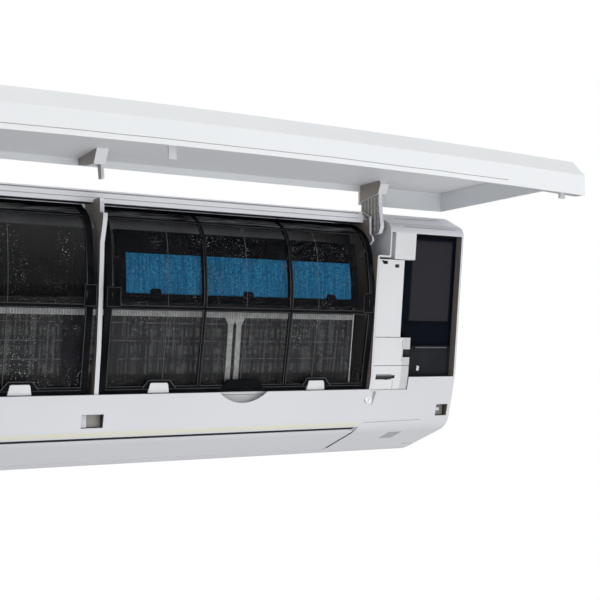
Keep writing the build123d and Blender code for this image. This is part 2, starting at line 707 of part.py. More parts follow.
def mounting_plate():
    """The pressed steel sheet that is screwed to the wall, with beads and upper hooks."""
    x_range = (-PLATE_WIDTH / 2, PLATE_WIDTH / 2)
    z_range = (PLATE_HEIGHT - PLATE_TALL / 2, PLATE_HEIGHT + PLATE_TALL / 2)
    plate = block(x_range, (-PLATE_SHEET, 0), z_range)
    outer_x = (x_range[0] + PLATE_BEAD_INSET, x_range[1] - PLATE_BEAD_INSET)
    inner_x = (outer_x[0] + 2, outer_x[1] - 2)
    for place in PLATE_BEAD_PLACES:
        middle = PLATE_HEIGHT + place
        outer_z = (middle - PLATE_BEAD_TALL / 2, middle + PLATE_BEAD_TALL / 2)
        inner_z = (outer_z[0] + 2, outer_z[1] - 2)
        plate -= block(outer_x, (-PLATE_SHEET - 1, 1), outer_z)
        bead = block(outer_x, (-PLATE_BEAD_DEPTH, 0), outer_z)
        plate += bead - block(inner_x, (-PLATE_BEAD_DEPTH + PLATE_SHEET, 1), inner_z)
    for x in (-PLATE_HOOK_SPAN / 2, PLATE_HOOK_SPAN / 2):
        x_hook = (x - PLATE_HOOK_WIDTH / 2, x + PLATE_HOOK_WIDTH / 2)
        plate += block(x_hook, (-PLATE_HOOK_REACH, 0), (z_range[1] - 2, z_range[1]))
        plate += block(
            x_hook,
            (-PLATE_HOOK_REACH, -PLATE_HOOK_REACH + PLATE_SHEET),
            (z_range[1] - 2, z_range[1] + 8),
        )
    for x in (-PLATE_HOLE_ACROSS / 2, PLATE_HOLE_ACROSS / 2):
        for z in (PLATE_HEIGHT - PLATE_HOLE_UP / 2, PLATE_HEIGHT + PLATE_HOLE_UP / 2):
            plate -= Pos(x, 0, z) * Rot(90, 0, 0) * Cylinder(PLATE_HOLE_RADIUS, 20)
    return plate


# ---- front panel -----------------------------------------------------------------------------
def panel_wire(x, crown, nose, lip, inset):
    """One cross section of the panel's skin, or of the hollow under it."""
    back, front = -PANEL_BACK - inset, -PANEL_FRONT + inset
    foot = lip - (60 if inset else 0)
    points = (
        (back, foot),
        (back, PANEL_BACK_TOP - inset),
        (-PANEL_CROWN_START, crown - inset),
        (-PANEL_CROWN_STOP, crown - inset),
        (front + PANEL_NOSE_LENGTH, nose - inset),
        (front, nose - PANEL_NOSE_DROP),
        (front, foot),
    )
    return Polyline(*[(x, y, z) for y, z in points], close=True)


def panel_body(inset):
    """The panel's crowned form, lofted from end to middle to end."""
    half = PANEL_WIDTH / 2 - inset
    ends = (PANEL_CROWN_END, PANEL_NOSE_END, PANEL_LIP_END)
    middle = (PANEL_CROWN_MIDDLE, PANEL_NOSE_MIDDLE, PANEL_LIP_MIDDLE)
    sections = [
        make_face(panel_wire(-half, *ends, inset)),
        make_face(panel_wire(0, *middle, inset)),
        make_face(panel_wire(half, *ends, inset)),
    ]
    return loft(sections)


HOLLOW = panel_body(PANEL_WALL)


def panel_liner():
    """The flat inner plate of the panel, which closes its crowned skin from below."""
    reach = PANEL_WALL + LINER_GAP
    plate = block(
        (-PANEL_WIDTH / 2 + reach, PANEL_WIDTH / 2 - reach),
        (-PANEL_FRONT + reach, -PANEL_BACK - reach),
        (PANEL_CEILING, PANEL_CEILING + LINER_THICK),
    )
    return plate & HOLLOW


def front_panel():
    """The panel as it is lifted open: skin above, nose in front, skirt behind and at the ends."""
    panel = panel_body(0) - HOLLOW
    wide = (-PANEL_WIDTH, PANEL_WIDTH)
    panel -= block(wide, (-PANEL_SLOPE_START, -100), (200, PANEL_SKIRT_BOTTOM))
    slope_foot = -PANEL_FRONT + 12
    slope = (
        (-PANEL_SLOPE_START, PANEL_SKIRT_BOTTOM),
        (-PANEL_SLOPE_START, 250),
        (slope_foot, 250),
        (slope_foot, PANEL_LIP_END),
    )
    panel -= slab(slope, wide)
    between = (ARM_LEFT + ARM_THICK / 2 + 12, ARM_RIGHT - ARM_THICK / 2 - 3)
    panel -= block(between, (-PANEL_BACK - PANEL_WALL - 1, -100), (250, PANEL_FLANGE_BOTTOM))
    return panel


def arm_outline():
    """The side view of a panel arm: root in its boss, hub at the pivot, curled tail in front."""
    y, z = PIVOT
    points = (
        (0, y + 5, PANEL_CEILING - 8),
        (0, y + 9, z + 6),
        (0, y + 7, z - 8),
        (0, y - 8, z - 9),
        (0, y - 18, z - 16),
        (0, y - 30, z - 16),
        (0, y - 34, z - 8),
        (0, y - 30, z + 20),
        (0, y - 31, PANEL_CEILING - 8),
    )
    radii = [1.0, 10.0, 7.0, 6.0, 6.0, 5.0, 5.0, 20.0, 1.0]
    return make_face(FilletPolyline(*points, radius=radii, close=True))


def panel_arm(centre):
    """A panel arm: a rimmed plate stiffened by a lattice, with the pivot hole in its hub."""
    half = ARM_THICK / 2
    face = arm_outline()
    arm = along_x(face, (centre - half, centre + half))
    pocket = inside(face, 1.6)
    cuts = along_x(pocket, (centre - half - 1, centre - ARM_WEB / 2))
    cuts += along_x(pocket, (centre + ARM_WEB / 2, centre + half + 1))
    y, z = PIVOT
    ribs = rod(HINGE_PIN_RADIUS + 2.5, (centre - half, centre + half), y, z)
    for i in range(-6, 9):
        rib = i * ARM_RIB_PITCH
        ribs += block((centre - half, centre + half), (y - 60, y + 30), (z + rib, z + rib + ARM_RIB))
    for i in range(-6, 3):
        rib = y + i * ARM_RIB_PITCH
        ribs += block((centre - half, centre + half), (rib, rib + ARM_RIB), (z - 40, z + 60))
    arm -= cuts - ribs
    arm += arm_boss(centre)
    return arm - rod(HINGE_PIN_RADIUS + HINGE_PIN_CLEARANCE, (centre - 20, centre + 20), y, z)


def arm_boss(centre):
    """The deep boss under the panel that holds an arm's root."""
    y = PIVOT[0]
    corners = (
        (y + 6.5, PANEL_CEILING),
        (y + 6.5, PANEL_CEILING - 19),
        (y - 32, PANEL_CEILING - 15),
        (y - 38, PANEL_CEILING - 4),
        (y - 36, PANEL_CEILING),
    )
    return slab(corners, beside(centre, BOSS_INNER, BOSS_OUTER))


def panel_hook():
    """The middle boss under the panel with the hook that snaps beside the filter divider."""
    y = PIVOT[0]
    ceiling = PANEL_CEILING
    x_boss = (HOOK_X + HOOK_THICK - HOOK_BOSS, HOOK_X + HOOK_THICK)
    boss_points = (
        (y + 6, ceiling),
        (y + 6, ceiling - 7),
        (y - 22, ceiling - 12),
        (y - 46, ceiling - 14),
        (y - 56, ceiling),
    )
    boss = slab(boss_points, x_boss)
    x_hook = (HOOK_X - HOOK_THICK / 2, HOOK_X + HOOK_THICK / 2)
    hook_points = (
        (y - 34, ceiling - 12),
        (y - 38, ceiling - 26),
        (y - 38, ceiling - 28),
        (y - 48, ceiling - 28),
        (y - 48, ceiling - 26),
        (y - 45, ceiling - 13),
    )
    return boss + slab(hook_points, x_hook)


def panel_pegs():
    """The pegs at the panel's free edge that enter the catch holes of the chin."""
    pegs = []
    for x in PEG_X:
        x_range = (x - PEG_WIDTH / 2, x + PEG_WIDTH / 2)
        stem = block(x_range, (-PEG_DEPTH, -PEG_DEPTH + PEG_THICK), (PEG_BOTTOM, PANEL_CEILING))
        pegs.append(stem & HOLLOW)
    return pegs


def hinge_pins():
    """The pins that carry the two panel arms."""
    pins = []
    reach = ARM_THICK / 2 + ARM_SIDE_GAP + HINGE_EAR
    for centre in (ARM_LEFT, ARM_RIGHT):
        pins.append(rod(HINGE_PIN_RADIUS, (centre - reach, centre + reach), *PIVOT))
    return pins


def hinge_bracket(centre):
    """A forked bracket in its pocket: two ears for the pin on a back plate under the top."""
    half = ARM_THICK / 2 + ARM_SIDE_GAP
    y, z = PIVOT
    rear = y + POCKET_BACK
    bracket = block(
        (centre - half - HINGE_EAR, centre + half + HINGE_EAR),
        (rear, rear + HINGE_EAR),
        (z - 42, BODY_HEIGHT - WALL - 0.3),
    )
    for low in (centre - half - HINGE_EAR, centre + half):
        x_range = (low, low + HINGE_EAR)
        bracket += rod(HINGE_EAR_RADIUS, x_range, y, z)
        bracket += block(x_range, (y, rear + 1), (z - HINGE_EAR_RADIUS, z + HINGE_EAR_RADIUS))
        bracket += block(x_range, (rear - 4, rear + 1), (z - 40, z + HINGE_EAR_RADIUS))
    return bracket - rod(HINGE_PIN_RADIUS, (centre - 20, centre + 20), y, z)


# ---- filters ---------------------------------------------------------------------------------
def filter_window(x_range, z_range):
    """The space between two x places and two heights, in front of the coil."""
    return block(x_range, (-FRONT_DEPTH - 20, -100), z_range)


def filter_frame(x_range):
    """A filter's moulded frame: border, ribs and bars bent to the filter's curve."""
    z_range = (OPENING_BOTTOM + FILTER_SILL_GAP, OPENING_TOP - FILTER_RIM_GAP)
    layer = band(FILTER_REGION, (0, FILTER_THICK), x_range)
    layer &= filter_window(x_range, z_range)
    hole_x = (x_range[0] + FILTER_BORDER, x_range[1] - FILTER_BORDER)
    width = (hole_x[1] - hole_x[0] - FILTER_RIBS * FILTER_RIB) / (FILTER_RIBS + 1)
    rows = (
        (z_range[0] + FILTER_BORDER, FILTER_BAR_HEIGHT),
        (FILTER_BAR_HEIGHT + FILTER_BAR, FILTER_TOP_BAR_HEIGHT),
        (FILTER_TOP_BAR_HEIGHT + FILTER_TOP_BAR, z_range[1] - FILTER_TOP_BORDER),
    )
    for i in range(FILTER_RIBS + 1):
        low = hole_x[0] + i * (width + FILTER_RIB)
        for z_low, z_high in rows:
            layer -= filter_window((low, low + width), (z_low, z_high))
    return layer + filter_tabs(x_range) - filter_mesh(x_range)


def filter_tabs(x_range):
    """The finger tabs on a filter's lower border."""
    tabs = None
    for share in TAB_SHARES:
        x = x_range[0] + share * (x_range[1] - x_range[0]) - TAB_WIDTH / 2
        tab = Pos(0, -TAB_PROUD, 0) * band(FILTER_REGION, (0, 3), (x, x + TAB_WIDTH))
        tab_z = (OPENING_BOTTOM + FILTER_SILL_GAP, OPENING_BOTTOM + TAB_TALL)
        tab &= filter_window((x, x + TAB_WIDTH), tab_z)
        tabs = tab if tabs is None else tabs + tab
    return tabs


def filter_mesh(x_range):
    """The fine screen moulded into a filter's frame."""
    z_low = OPENING_BOTTOM + FILTER_SILL_GAP + FILTER_BORDER
    z_high = OPENING_TOP - FILTER_RIM_GAP - FILTER_TOP_BORDER
    inner = (x_range[0] + FILTER_BORDER, x_range[1] - FILTER_BORDER)
    sheet = band(FILTER_REGION, (MESH_DEPTH, MESH_DEPTH + MESH_THICK), inner)
    return sheet & filter_window(inner, (z_low, z_high))


def pad_ranges():
    """The x ranges of the three purifier pads, one behind each field of the right filter."""
    low, high = RIGHT_FILTER[0] + FILTER_BORDER, RIGHT_FILTER[1] - FILTER_BORDER
    width = (high - low - FILTER_RIBS * FILTER_RIB) / (FILTER_RIBS + 1)
    fields = [low + i * (width + FILTER_RIB) for i in range(FILTER_RIBS + 1)]
    ranges = [[x + PAD_INSET, x + width - PAD_INSET] for x in fields]
    ranges[0][0] = low + PAD_LEFT_INSET
    ranges[-1][1] = high - PAD_RIGHT_INSET
    return ranges


def purifier_pads():
    """The purifier pads that lie behind the right filter's screen."""
    pads = []
    for x_range in pad_ranges():
        pad = band(FILTER_REGION, (PAD_DEPTH, PAD_DEPTH + PAD_THICK), x_range)
        pads.append(pad & filter_window(x_range, (PAD_LOW, PAD_HIGH)))
    return pads


def purifier_holder():
    """The frame that clips the pads to the back of the right filter."""
    x_low = pad_ranges()[0][0] - PAD_GAP - HOLDER_END
    x_high = pad_ranges()[-1][1] + PAD_GAP + HOLDER_END
    holder = band(FILTER_REGION, (FILTER_THICK, PAD_DEPTH + PAD_THICK + 0.6), (x_low, x_high))
    hole_z = (PAD_LOW - PAD_GAP, PAD_HIGH + PAD_GAP)
    holder &= filter_window((x_low, x_high), (hole_z[0] - HOLDER_BOTTOM, hole_z[1] + HOLDER_TOP))
    for low, high in pad_ranges():
        holder -= filter_window((low - PAD_GAP, high + PAD_GAP), hole_z)
    return holder


# ---- heat exchanger --------------------------------------------------------------------------
def slab_frame(slab_line):
    """A coil slab's start, direction along its face and direction into it, as (y, z)."""
    (y0, z0), (y1, z1) = slab_line
    length = ((y1 - y0) ** 2 + (z1 - z0) ** 2) ** 0.5
    along = ((y1 - y0) / length, (z1 - z0) / length)
    into = (along[1], -along[0])
    return length, along, into


def coil_section(slab_line, lip):
    """The section of one coil slab, or of its end plate with a lip all round."""
    length, along, into = slab_frame(slab_line)
    (y0, z0), _ = slab_line
    corners = []
    far, deep = length + lip, COIL_THICK + lip
    for a, b in ((-lip, -lip), (far, -lip), (far, deep), (-lip, deep)):
        corners.append((y0 + along[0] * a + into[0] * b, z0 + along[1] * a + into[1] * b))
    return section(corners)


def tube_places(slab_line):
    """The (y, z) centres of the tubes in one slab: an even number, in one row."""
    length, along, into = slab_frame(slab_line)
    (y0, z0), _ = slab_line
    count = int((length - 2 * TUBE_EDGE) // TUBE_PITCH) + 1
    count -= count % 2
    first = (length - (count - 1) * TUBE_PITCH) / 2
    places = []
    for i in range(count):
        a = first + i * TUBE_PITCH
        b = COIL_THICK / 2
        places.append((y0 + along[0] * a + into[0] * b, z0 + along[1] * a + into[1] * b))
    return places


def coil_fins():
    """The three finned slabs, each with the holes of its tubes."""
    slabs = []
    for line in COIL_SLABS:
        fins = along_x(coil_section(line, 0), (COIL_LEFT, COIL_RIGHT))
        for y, z in tube_places(line):
            fins -= rod(TUBE_RADIUS + TUBE_CLEARANCE, (COIL_LEFT - 1, COIL_RIGHT + 1), y, z)
        slabs.append(fins)
    return slabs


def end_plates():
    """The sheet plates that close the slabs at both ends and carry them in the casing."""
    plates = []
    for x_range in ((COIL_LEFT - END_PLATE, COIL_LEFT), (COIL_RIGHT, COIL_RIGHT + END_PLATE)):
        plate = None
        for line in COIL_SLABS:
            piece = along_x(coil_section(line, END_PLATE_LIP), x_range)
            plate = piece if plate is None else plate + piece
        bridge_low = COIL_SLABS[0][1]
        bridge_high = COIL_SLABS[1][1]
        y, z = bridge_low
        plate += block(x_range, (y + 3, y + 26), (z - 6, z + 22))
        y, z = bridge_high
        plate += block(x_range, (y - 4, y + 30), (z - 18, z))
        for line in COIL_SLABS:
            for y, z in tube_places(line):
                plate -= rod(TUBE_RADIUS + TUBE_CLEARANCE, (x_range[0] - 1, x_range[1] + 1), y, z)
        plates.append(plate)
    return plates


def hairpin(first, second, left_bend):
    """One tube: two straight runs joined by a round bend at one end."""
    x_low, x_high = COIL_LEFT - END_PLATE - 3, COIL_RIGHT + END_PLATE + 3
    start_x, bend_x = (x_high, x_low) if left_bend else (x_low, x_high)
    reach = -1 if left_bend else 1
    middle = ((first[0] + second[0]) / 2, (first[1] + second[1]) / 2)
    radius = TUBE_PITCH / 2
    path = Wire([
        Edge.make_line((start_x, *first), (bend_x, *first)),
        Edge.make_three_point_arc(
            (bend_x, *first), (bend_x + reach * radius, *middle), (bend_x, *second)
        ),
        Edge.make_line((bend_x, *second), (start_x, *second)),
    ])
    plane = Plane(origin=(start_x, *first), z_dir=(-1 if left_bend else 1, 0, 0))
    return sweep(plane * Circle(TUBE_RADIUS), path=path)


def coil_tubes():
    """The copper hairpins of all slabs."""
    tubes = []
    for line in COIL_SLABS:
        places = tube_places(line)
        for i in range(0, len(places), 2):
            tubes.append(hairpin(places[i], places[i + 1], left_bend=True))
    return tubes


def coil_strips():
    """The pale bar clipped along the lower slab's front, with twin strips that flare into it."""
    _, _, into = slab_frame(COIL_SLABS[0])
    origin = (0, *COIL_SLABS[0][0])
    plane = Plane(origin=origin, x_dir=(1, 0, 0), z_dir=(0, -into[0], -into[1]))
    middle = (COIL_LEFT + COIL_RIGHT) / 2
    bar = Rectangle(COIL_RIGHT - COIL_LEFT, COIL_BAR_TALL)
    face = Pos(middle, COIL_BAR_LOW + COIL_BAR_TALL / 2) * bar
    for x in (STRIP_X - STRIP_PITCH / 2, STRIP_X + STRIP_PITCH / 2):
        half = STRIP_WIDTH / 2
        outline_points = (
            (x - half, 0),
            (x + half, 0),
            (x + half, COIL_BAR_LOW - 2 * STRIP_FLARE),
            (x + half + STRIP_FLARE, COIL_BAR_LOW + 0.1),
            (x - half - STRIP_FLARE, COIL_BAR_LOW + 0.1),
            (x - half, COIL_BAR_LOW - 2 * STRIP_FLARE),
        )
        face += make_face(Polyline(*outline_points, close=True))
    return extrude(plane * face, amount=STRIP_THICK)


# ---- fan -------------------------------------------------------------------------------------
def fan_blade(angle):
    """One blade of the cross-flow rotor, leaning forward from its inner to its outer edge."""
    y, z = FAN
    inner, outer = radians(angle), radians(angle + BLADE_SWEEP)
    middle = radians(angle + BLADE_SWEEP * 0.35)
    mid_radius = (BLADE_INNER_RADIUS + FAN_RADIUS) / 2

    def at(radius, turn):
        return (0, y + radius * cos(turn), z + radius * sin(turn))

    thick = BLADE_THICK / FAN_RADIUS
    root, tip = BLADE_INNER_RADIUS, FAN_RADIUS - 0.5
    back = (at(tip, outer + thick), at(mid_radius, middle + thick), at(root, inner + thick))
    edges = [
        ThreePointArc(at(root, inner), at(mid_radius, middle), at(tip, outer)),
        Line(at(tip, outer), back[0]),
        ThreePointArc(*back),
        Line(back[2], at(root, inner)),
    ]
    return along_x(make_face(edges), (FAN_LEFT, FAN_RIGHT))


def fan_rotor():
    """The cross-flow rotor: rings of blades between discs, with a hub at each end."""
    discs = []
    for i in range(FAN_DISCS):
        x = FAN_LEFT + i * (FAN_RIGHT - FAN_LEFT - FAN_DISC_THICK) / (FAN_DISCS - 1)
        disc = rod(FAN_RADIUS, (x, x + FAN_DISC_THICK), *FAN)
        if 0 < i < FAN_DISCS - 1:
            disc -= rod(BLADE_INNER_RADIUS - 3, (x - 1, x + FAN_DISC_THICK + 1), *FAN)
        discs.append(disc)
    discs.append(rod(HUB_RADIUS, (FAN_LEFT, FAN_LEFT + 14), *FAN))
    discs.append(rod(HUB_RADIUS, (FAN_RIGHT - 14, FAN_RIGHT), *FAN))
    blades = [fan_blade(i * 360 / FAN_BLADES) for i in range(FAN_BLADES)]
    rotor = discs[0].fuse(*discs[1:], *blades)
    rotor -= rod(SHAFT_RADIUS, (FAN_RIGHT - 14, FAN_RIGHT + 1), *FAN)
    rotor -= rod(SHAFT_RADIUS, (FAN_LEFT - 1, FAN_LEFT + 14), *FAN)
    return rotor


def fan_bearing():
    """The rubber-cased bearing in the left cheek."""
    x_high = OUTLET_LEFT - 1
    ring = rod(BEARING_RADIUS, (x_high - BEARING_LENGTH, x_high), *FAN)
    return ring - rod(SHAFT_RADIUS + SHAFT_CLEARANCE, (x_high - 20, x_high + 1), *FAN)


def fan_motor():
    """The fan motor: ribbed can, end boss and a bore for the shaft."""
    x0, x1 = MOTOR_LEFT, MOTOR_LEFT + MOTOR_LENGTH
    motor = rod(MOTOR_RADIUS - 3, (x0, x1), *FAN)
    motor += rod(MOTOR_RADIUS, (x0 + 10, x1 - 10), *FAN)
    motor += rod(HUB_RADIUS + 3, (x0 - 6, x0 + 1), *FAN)
    return motor - rod(SHAFT_RADIUS + SHAFT_CLEARANCE, (x0 - 7, x0 + 40), *FAN)


def motor_clamp():
    """The strap over the motor, screwed to the cradle."""
    x_range = (MOTOR_LEFT + 12, MOTOR_LEFT + MOTOR_LENGTH - 12)
    ring = rod(MOTOR_RADIUS + 2.5, x_range, *FAN) - rod(MOTOR_RADIUS, x_range, *FAN)
    ring &= block(x_range, (-200, 0), (FAN_HEIGHT, FAN_HEIGHT + 60))
    for y in (FAN[0] - MOTOR_RADIUS - 2.5, FAN[0] + MOTOR_RADIUS):
        ring += block(x_range, (y, y + 2.5), (FAN_HEIGHT, FAN_HEIGHT + 4))
    return ring


# ---- outlet ----------------------------------------------------------------------------------
def drain_pan():
    """The drain pan: trough under the front coil, outer face of the duct and its two cheeks."""
    x_range = (OUTLET_LEFT - 1, OUTLET_RIGHT + 1)
    y, z = COIL_SLABS[0][0]
    floor_z = z - 14
    pan = block(x_range, (y - 7, y + 30), (floor_z, floor_z + PAN_WALL))
    pan += block(x_range, (y - 7, y - 5), (floor_z, z - 5))
    pan += block(x_range, (y + 28, y + 30), (floor_z, z + 4))
    mouth = duct_point(OUTLET_FRONT - OUTLET_BACK - 3, 9)
    pan += slab(
        ((y + 24, floor_z + 1), mouth, (mouth[0] - 2, mouth[1] + 1), (y + 20, floor_z + 1)), x_range
    )
    pan += pan_cheek((OUTLET_LEFT - CHEEK_THICK, OUTLET_LEFT))
    pan += pan_cheek((OUTLET_RIGHT, OUTLET_RIGHT + CHEEK_THICK))
    for x in SCREW_X:
        pan -= screw_hole(x)
    return pan


def pan_cheek(x_range):
    """One end of the outlet, with the hole for the flap's pin."""
    y, z = COIL_SLABS[0][0]
    low, high = duct_point(0, 5), duct_point(OUTLET_FRONT - OUTLET_BACK - 4, 6)
    top = z - 14 + PAN_WALL
    cheek = slab((low, duct_point(0, 66), (y + 26, top), (high[0], high[1] + 2)), x_range)
    pin = FLAP_PIN_RADIUS + FLAP_PIN_CLEARANCE
    return cheek - rod(pin, (x_range[0] - 1, x_range[1] + 1), *FLAP_PIVOT)


def flap():
    """The air flap: a layer of the belly's skin with ears and pins at its back edge."""
    x_range = (OUTLET_LEFT + FLAP_SIDE_GAP, OUTLET_RIGHT - FLAP_SIDE_GAP)
    skin = band(OUTLINE, (0, FLAP_THICK), x_range)
    skin &= block(
        x_range,
        (-OUTLET_FRONT + FLAP_FRONT_GAP, -OUTLET_BACK - FLAP_BACK_GAP),
        (-5, LIP_HEIGHT + 5),
    )
    y, z = FLAP_PIVOT
    for x in (x_range[0], x_range[1] - FLAP_EAR):
        ear = rod(FLAP_EAR_RADIUS, (x, x + FLAP_EAR), y, z)
        ear += slab(((y - 6, z), (y + 6, z), (y + 5, z - 8), (y - 14, z - 2)), (x, x + FLAP_EAR))
        skin += ear & along_x(OUTLINE, (x, x + FLAP_EAR))
    reach = FLAP_SIDE_GAP + CHEEK_THICK + 2
    skin += rod(FLAP_PIN_RADIUS, (x_range[0] - reach, x_range[0] + 1), y, z)
    skin += rod(FLAP_PIN_RADIUS, (x_range[1] - 1, x_range[1] + reach + 4), y, z)
    return skin


def flap_motor():
    """The stepping motor that turns the flap, beside the right cheek."""
    x0 = OUTLET_RIGHT + 1 + CHEEK_THICK + 0.5
    motor = rod(14, (x0, x0 + 19), *FLAP_PIVOT)
    motor &= block((x0, x0 + 19), (-200, 0), (FLAP_PIVOT_HEIGHT - 11, FLAP_PIVOT_HEIGHT + 20))
    y, z = FLAP_PIVOT
    motor += block((x0, x0 + 1), (y - 21, y + 21), (z - 4, z + 4))
    motor &= along_x(inside(OUTLINE, WALL + 0.4), (x0, x0 + 20))
    return motor - rod(FLAP_PIN_RADIUS + FLAP_PIN_CLEARANCE, (x0 - 1, x0 + 8), *FLAP_PIVOT)


def vane_xs(group):
    """The x places of one group's vanes, counted outward from the divider."""
    middle = (OUTLET_LEFT + OUTLET_RIGHT) / 2
    return [middle + group * VANE_PITCH * (i + 0.5) for i in range(VANES_PER_GROUP)]


def duct_rod(x, radius, across_range, up):
    """A round bar that stands across the duct, from its back wall towards its front."""
    low, high = duct_point(across_range[0], up), duct_point(across_range[1], up)
    direction = (0, high[0] - low[0], high[1] - low[1])
    plane = Plane(origin=(x, *low), z_dir=direction)
    return extrude(plane * Circle(radius), amount=across_range[1] - across_range[0])


def vane(x):
    """One upright vane: plate, pivot pin in the rail and peg in the link."""
    root = VANE_ROOT
    corners = (
        duct_point(root, VANE_LIFT - VANE_LENGTH * 0.4),
        duct_point(root, VANE_LIFT + VANE_LENGTH * 0.6),
        duct_point(root + VANE_REACH * 0.7, VANE_LIFT + VANE_LENGTH * 0.6),
        duct_point(root + VANE_REACH, VANE_LIFT + VANE_LENGTH * 0.3),
        duct_point(root + VANE_REACH, VANE_LIFT - VANE_LENGTH * 0.3),
        duct_point(root + VANE_REACH * 0.7, VANE_LIFT - VANE_LENGTH * 0.4),
    )
    plate = slab(corners, (x - VANE_THICK / 2, x + VANE_THICK / 2))
    pin = duct_rod(x, VANE_PIN_RADIUS, (RAIL_BACK + 0.3, root + 4), VANE_LIFT)
    link_up = VANE_LIFT + LINK_ARM
    low, high = root + LINK_PLACE - 3, root + LINK_PLACE + LINK_THICK + 3
    slot = duct_rod(x, LINK_WIDTH / 2 + 1.6, (low, high), link_up)
    peg = duct_rod(x, LINK_PEG_RADIUS, (low - 2, high + 2), link_up)
    return plate - slot + pin + peg


def vane_link(group):
    """The flat bar that ties one group's vanes, with a hole for each peg."""
    xs = vane_xs(group)
    x_range = (min(xs) - 5, max(xs) + 5)
    low = VANE_ROOT + LINK_PLACE
    up = VANE_LIFT + LINK_ARM
    half = LINK_WIDTH / 2
    corners = (
        duct_point(low, up - half),
        duct_point(low + LINK_THICK, up - half),
        duct_point(low + LINK_THICK, up + half),
        duct_point(low, up + half),
    )
    bar = slab(corners, x_range)
    for x in xs:
        across = (low - 2, low + LINK_THICK + 2)
        bar -= duct_rod(x, LINK_PEG_RADIUS + VANE_PIN_CLEARANCE, across, up)
    return bar


def vane_rail():
    """The strip on the duct's back wall that carries the vanes' pins."""
    x_range = (OUTLET_LEFT + 2, OUTLET_RIGHT - 2)
    half = RAIL_WIDTH / 2
    corners = (
        duct_point(RAIL_BACK, VANE_LIFT - half),
        duct_point(RAIL_FACE, VANE_LIFT - half),
        duct_point(RAIL_FACE, VANE_LIFT + half),
        duct_point(RAIL_BACK, VANE_LIFT + half),
    )
    rail = slab(corners, x_range)
    for x in vane_xs(-1) + vane_xs(1):
        across = (RAIL_BACK - 1, RAIL_FACE + 1)
        rail -= duct_rod(x, VANE_PIN_RADIUS + VANE_PIN_CLEARANCE, across, VANE_LIFT)
    return rail


# ---- wiring bay ------------------------------------------------------------------------------
def front_box(x_range, z_range, depths):
    """A piece of the casing's front layer between two depths behind its surface."""
    layer = band(OUTLINE, depths, x_range)
    return layer & block(x_range, (-FRONT_DEPTH - 5, -120), z_range)


def open_cover(x_range, z_range, recess, deep):
    """A cover that follows the casing's front, with two side walls that run back to a depth."""
    cover = front_box(x_range, z_range, (recess, deep))
    hollow_x = (x_range[0] + COVER_THICK, x_range[1] - COVER_THICK)
    hollow_z = (z_range[0] - 1, z_range[1] + 1)
    return cover - front_box(hollow_x, hollow_z, (recess + COVER_THICK, deep + 1))


def wire_cover():
    """The long cover over the wires beside the right filter, with two small holes."""
    x_range = (COVER_LEFT + COVER_GAP, COVER_RIGHT)
    cover = open_cover(x_range, (WIRE_COVER_LOW, WIRE_COVER_HIGH), COVER_RECESS, WIRE_COVER_DEEP)
    through = (-FRONT_DEPTH - 1, -FRONT_DEPTH + WIRE_COVER_DEEP)
    for x, drop in ((x_range[0] + 10, 1.5), (x_range[1] - 10, 5)):
        hole_z = (WIRE_COVER_HIGH - drop - 4, WIRE_COVER_HIGH - drop)
        cover -= block((x - 3, x + 3), through, hole_z)
    return cover


def lower_cover():
    """The short cover under the wire cover, with a wing to the right that has a clip notch."""
    z_range = (LOWER_COVER_LOW, LOWER_COVER_HIGH)
    wing_x = (COVER_RIGHT - 2, COVER_RIGHT + COVER_WING)
    cover = open_cover((COVER_LEFT + COVER_GAP, COVER_RIGHT), z_range, COVER_RECESS, WIRE_COVER_DEEP)
    cover += front_box(wing_x, z_range, (COVER_RECESS, COVER_RECESS + COVER_THICK))
    notch_x = (COVER_RIGHT + 5, COVER_RIGHT + COVER_WING + 1)
    return cover - block(notch_x, (-FRONT_DEPTH, -100), (CLIP_NOTCH_LOW, CLIP_NOTCH_HIGH))


def button_place():
    """The button slot's x and z ranges and the seat block's front at its height."""
    x_low = COVER_LEFT + COVER_GAP + BUTTON_INSET
    front = front_y(FRONT_LINE, BUTTON_LOW + BUTTON_SLOT / 2) + COVER_RECESS
    return (x_low, x_low + BUTTON_WIDTH), (BUTTON_LOW, BUTTON_LOW + BUTTON_SLOT), front


def seat_block():
    """The block under the covers, with the slot of the operation button and a thin wing."""
    z_range = (SEAT_LOW + COVER_GAP, LOWER_COVER_LOW - 2 * COVER_GAP)
    seat = front_box((COVER_LEFT + COVER_GAP, BAY_LEFT + 0.6), z_range, (COVER_RECESS, SEAT_DEEP))
    wing_x = (BAY_LEFT, COVER_RIGHT + COVER_WING - COVER_GAP)
    seat += front_box(wing_x, z_range, (COVER_RECESS, SEAT_WING_DEEP))
    slot_x, slot_z, front = button_place()
    return seat - block(slot_x, (front - 5, front + BUTTON_DEEP + BUTTON_TRAVEL + 0.5), slot_z)


def operation_button():
    """The narrow push button in the upper part of its slot."""
    slot_x, slot_z, front = button_place()
    top = slot_z[1] - BUTTON_GAP
    return block(
        (slot_x[0] + BUTTON_GAP, slot_x[1] - BUTTON_GAP),
        (front - 0.8, front + BUTTON_DEEP),
        (top - BUTTON_TALL, top),
    )


def hinge_cover():
    """The square plate right of the arm's pocket."""
    x_range = (HINGE_COVER_LEFT, HINGE_COVER_RIGHT)
    z_range = (HINGE_COVER_LOW, HINGE_COVER_HIGH)
    cover = open_cover(x_range, z_range, COVER_RECESS, HINGE_COVER_DEEP)
    floor_z = (HINGE_COVER_LOW, HINGE_COVER_LOW + COVER_THICK)
    cover += front_box(x_range, floor_z, (COVER_RECESS, HINGE_COVER_DEEP))
    over_box = (BAY_LEFT, HINGE_COVER_RIGHT + 1)
    return cover - front_box(over_box, z_range, (BOX_RECESS - 1, HINGE_COVER_DEEP + 1))


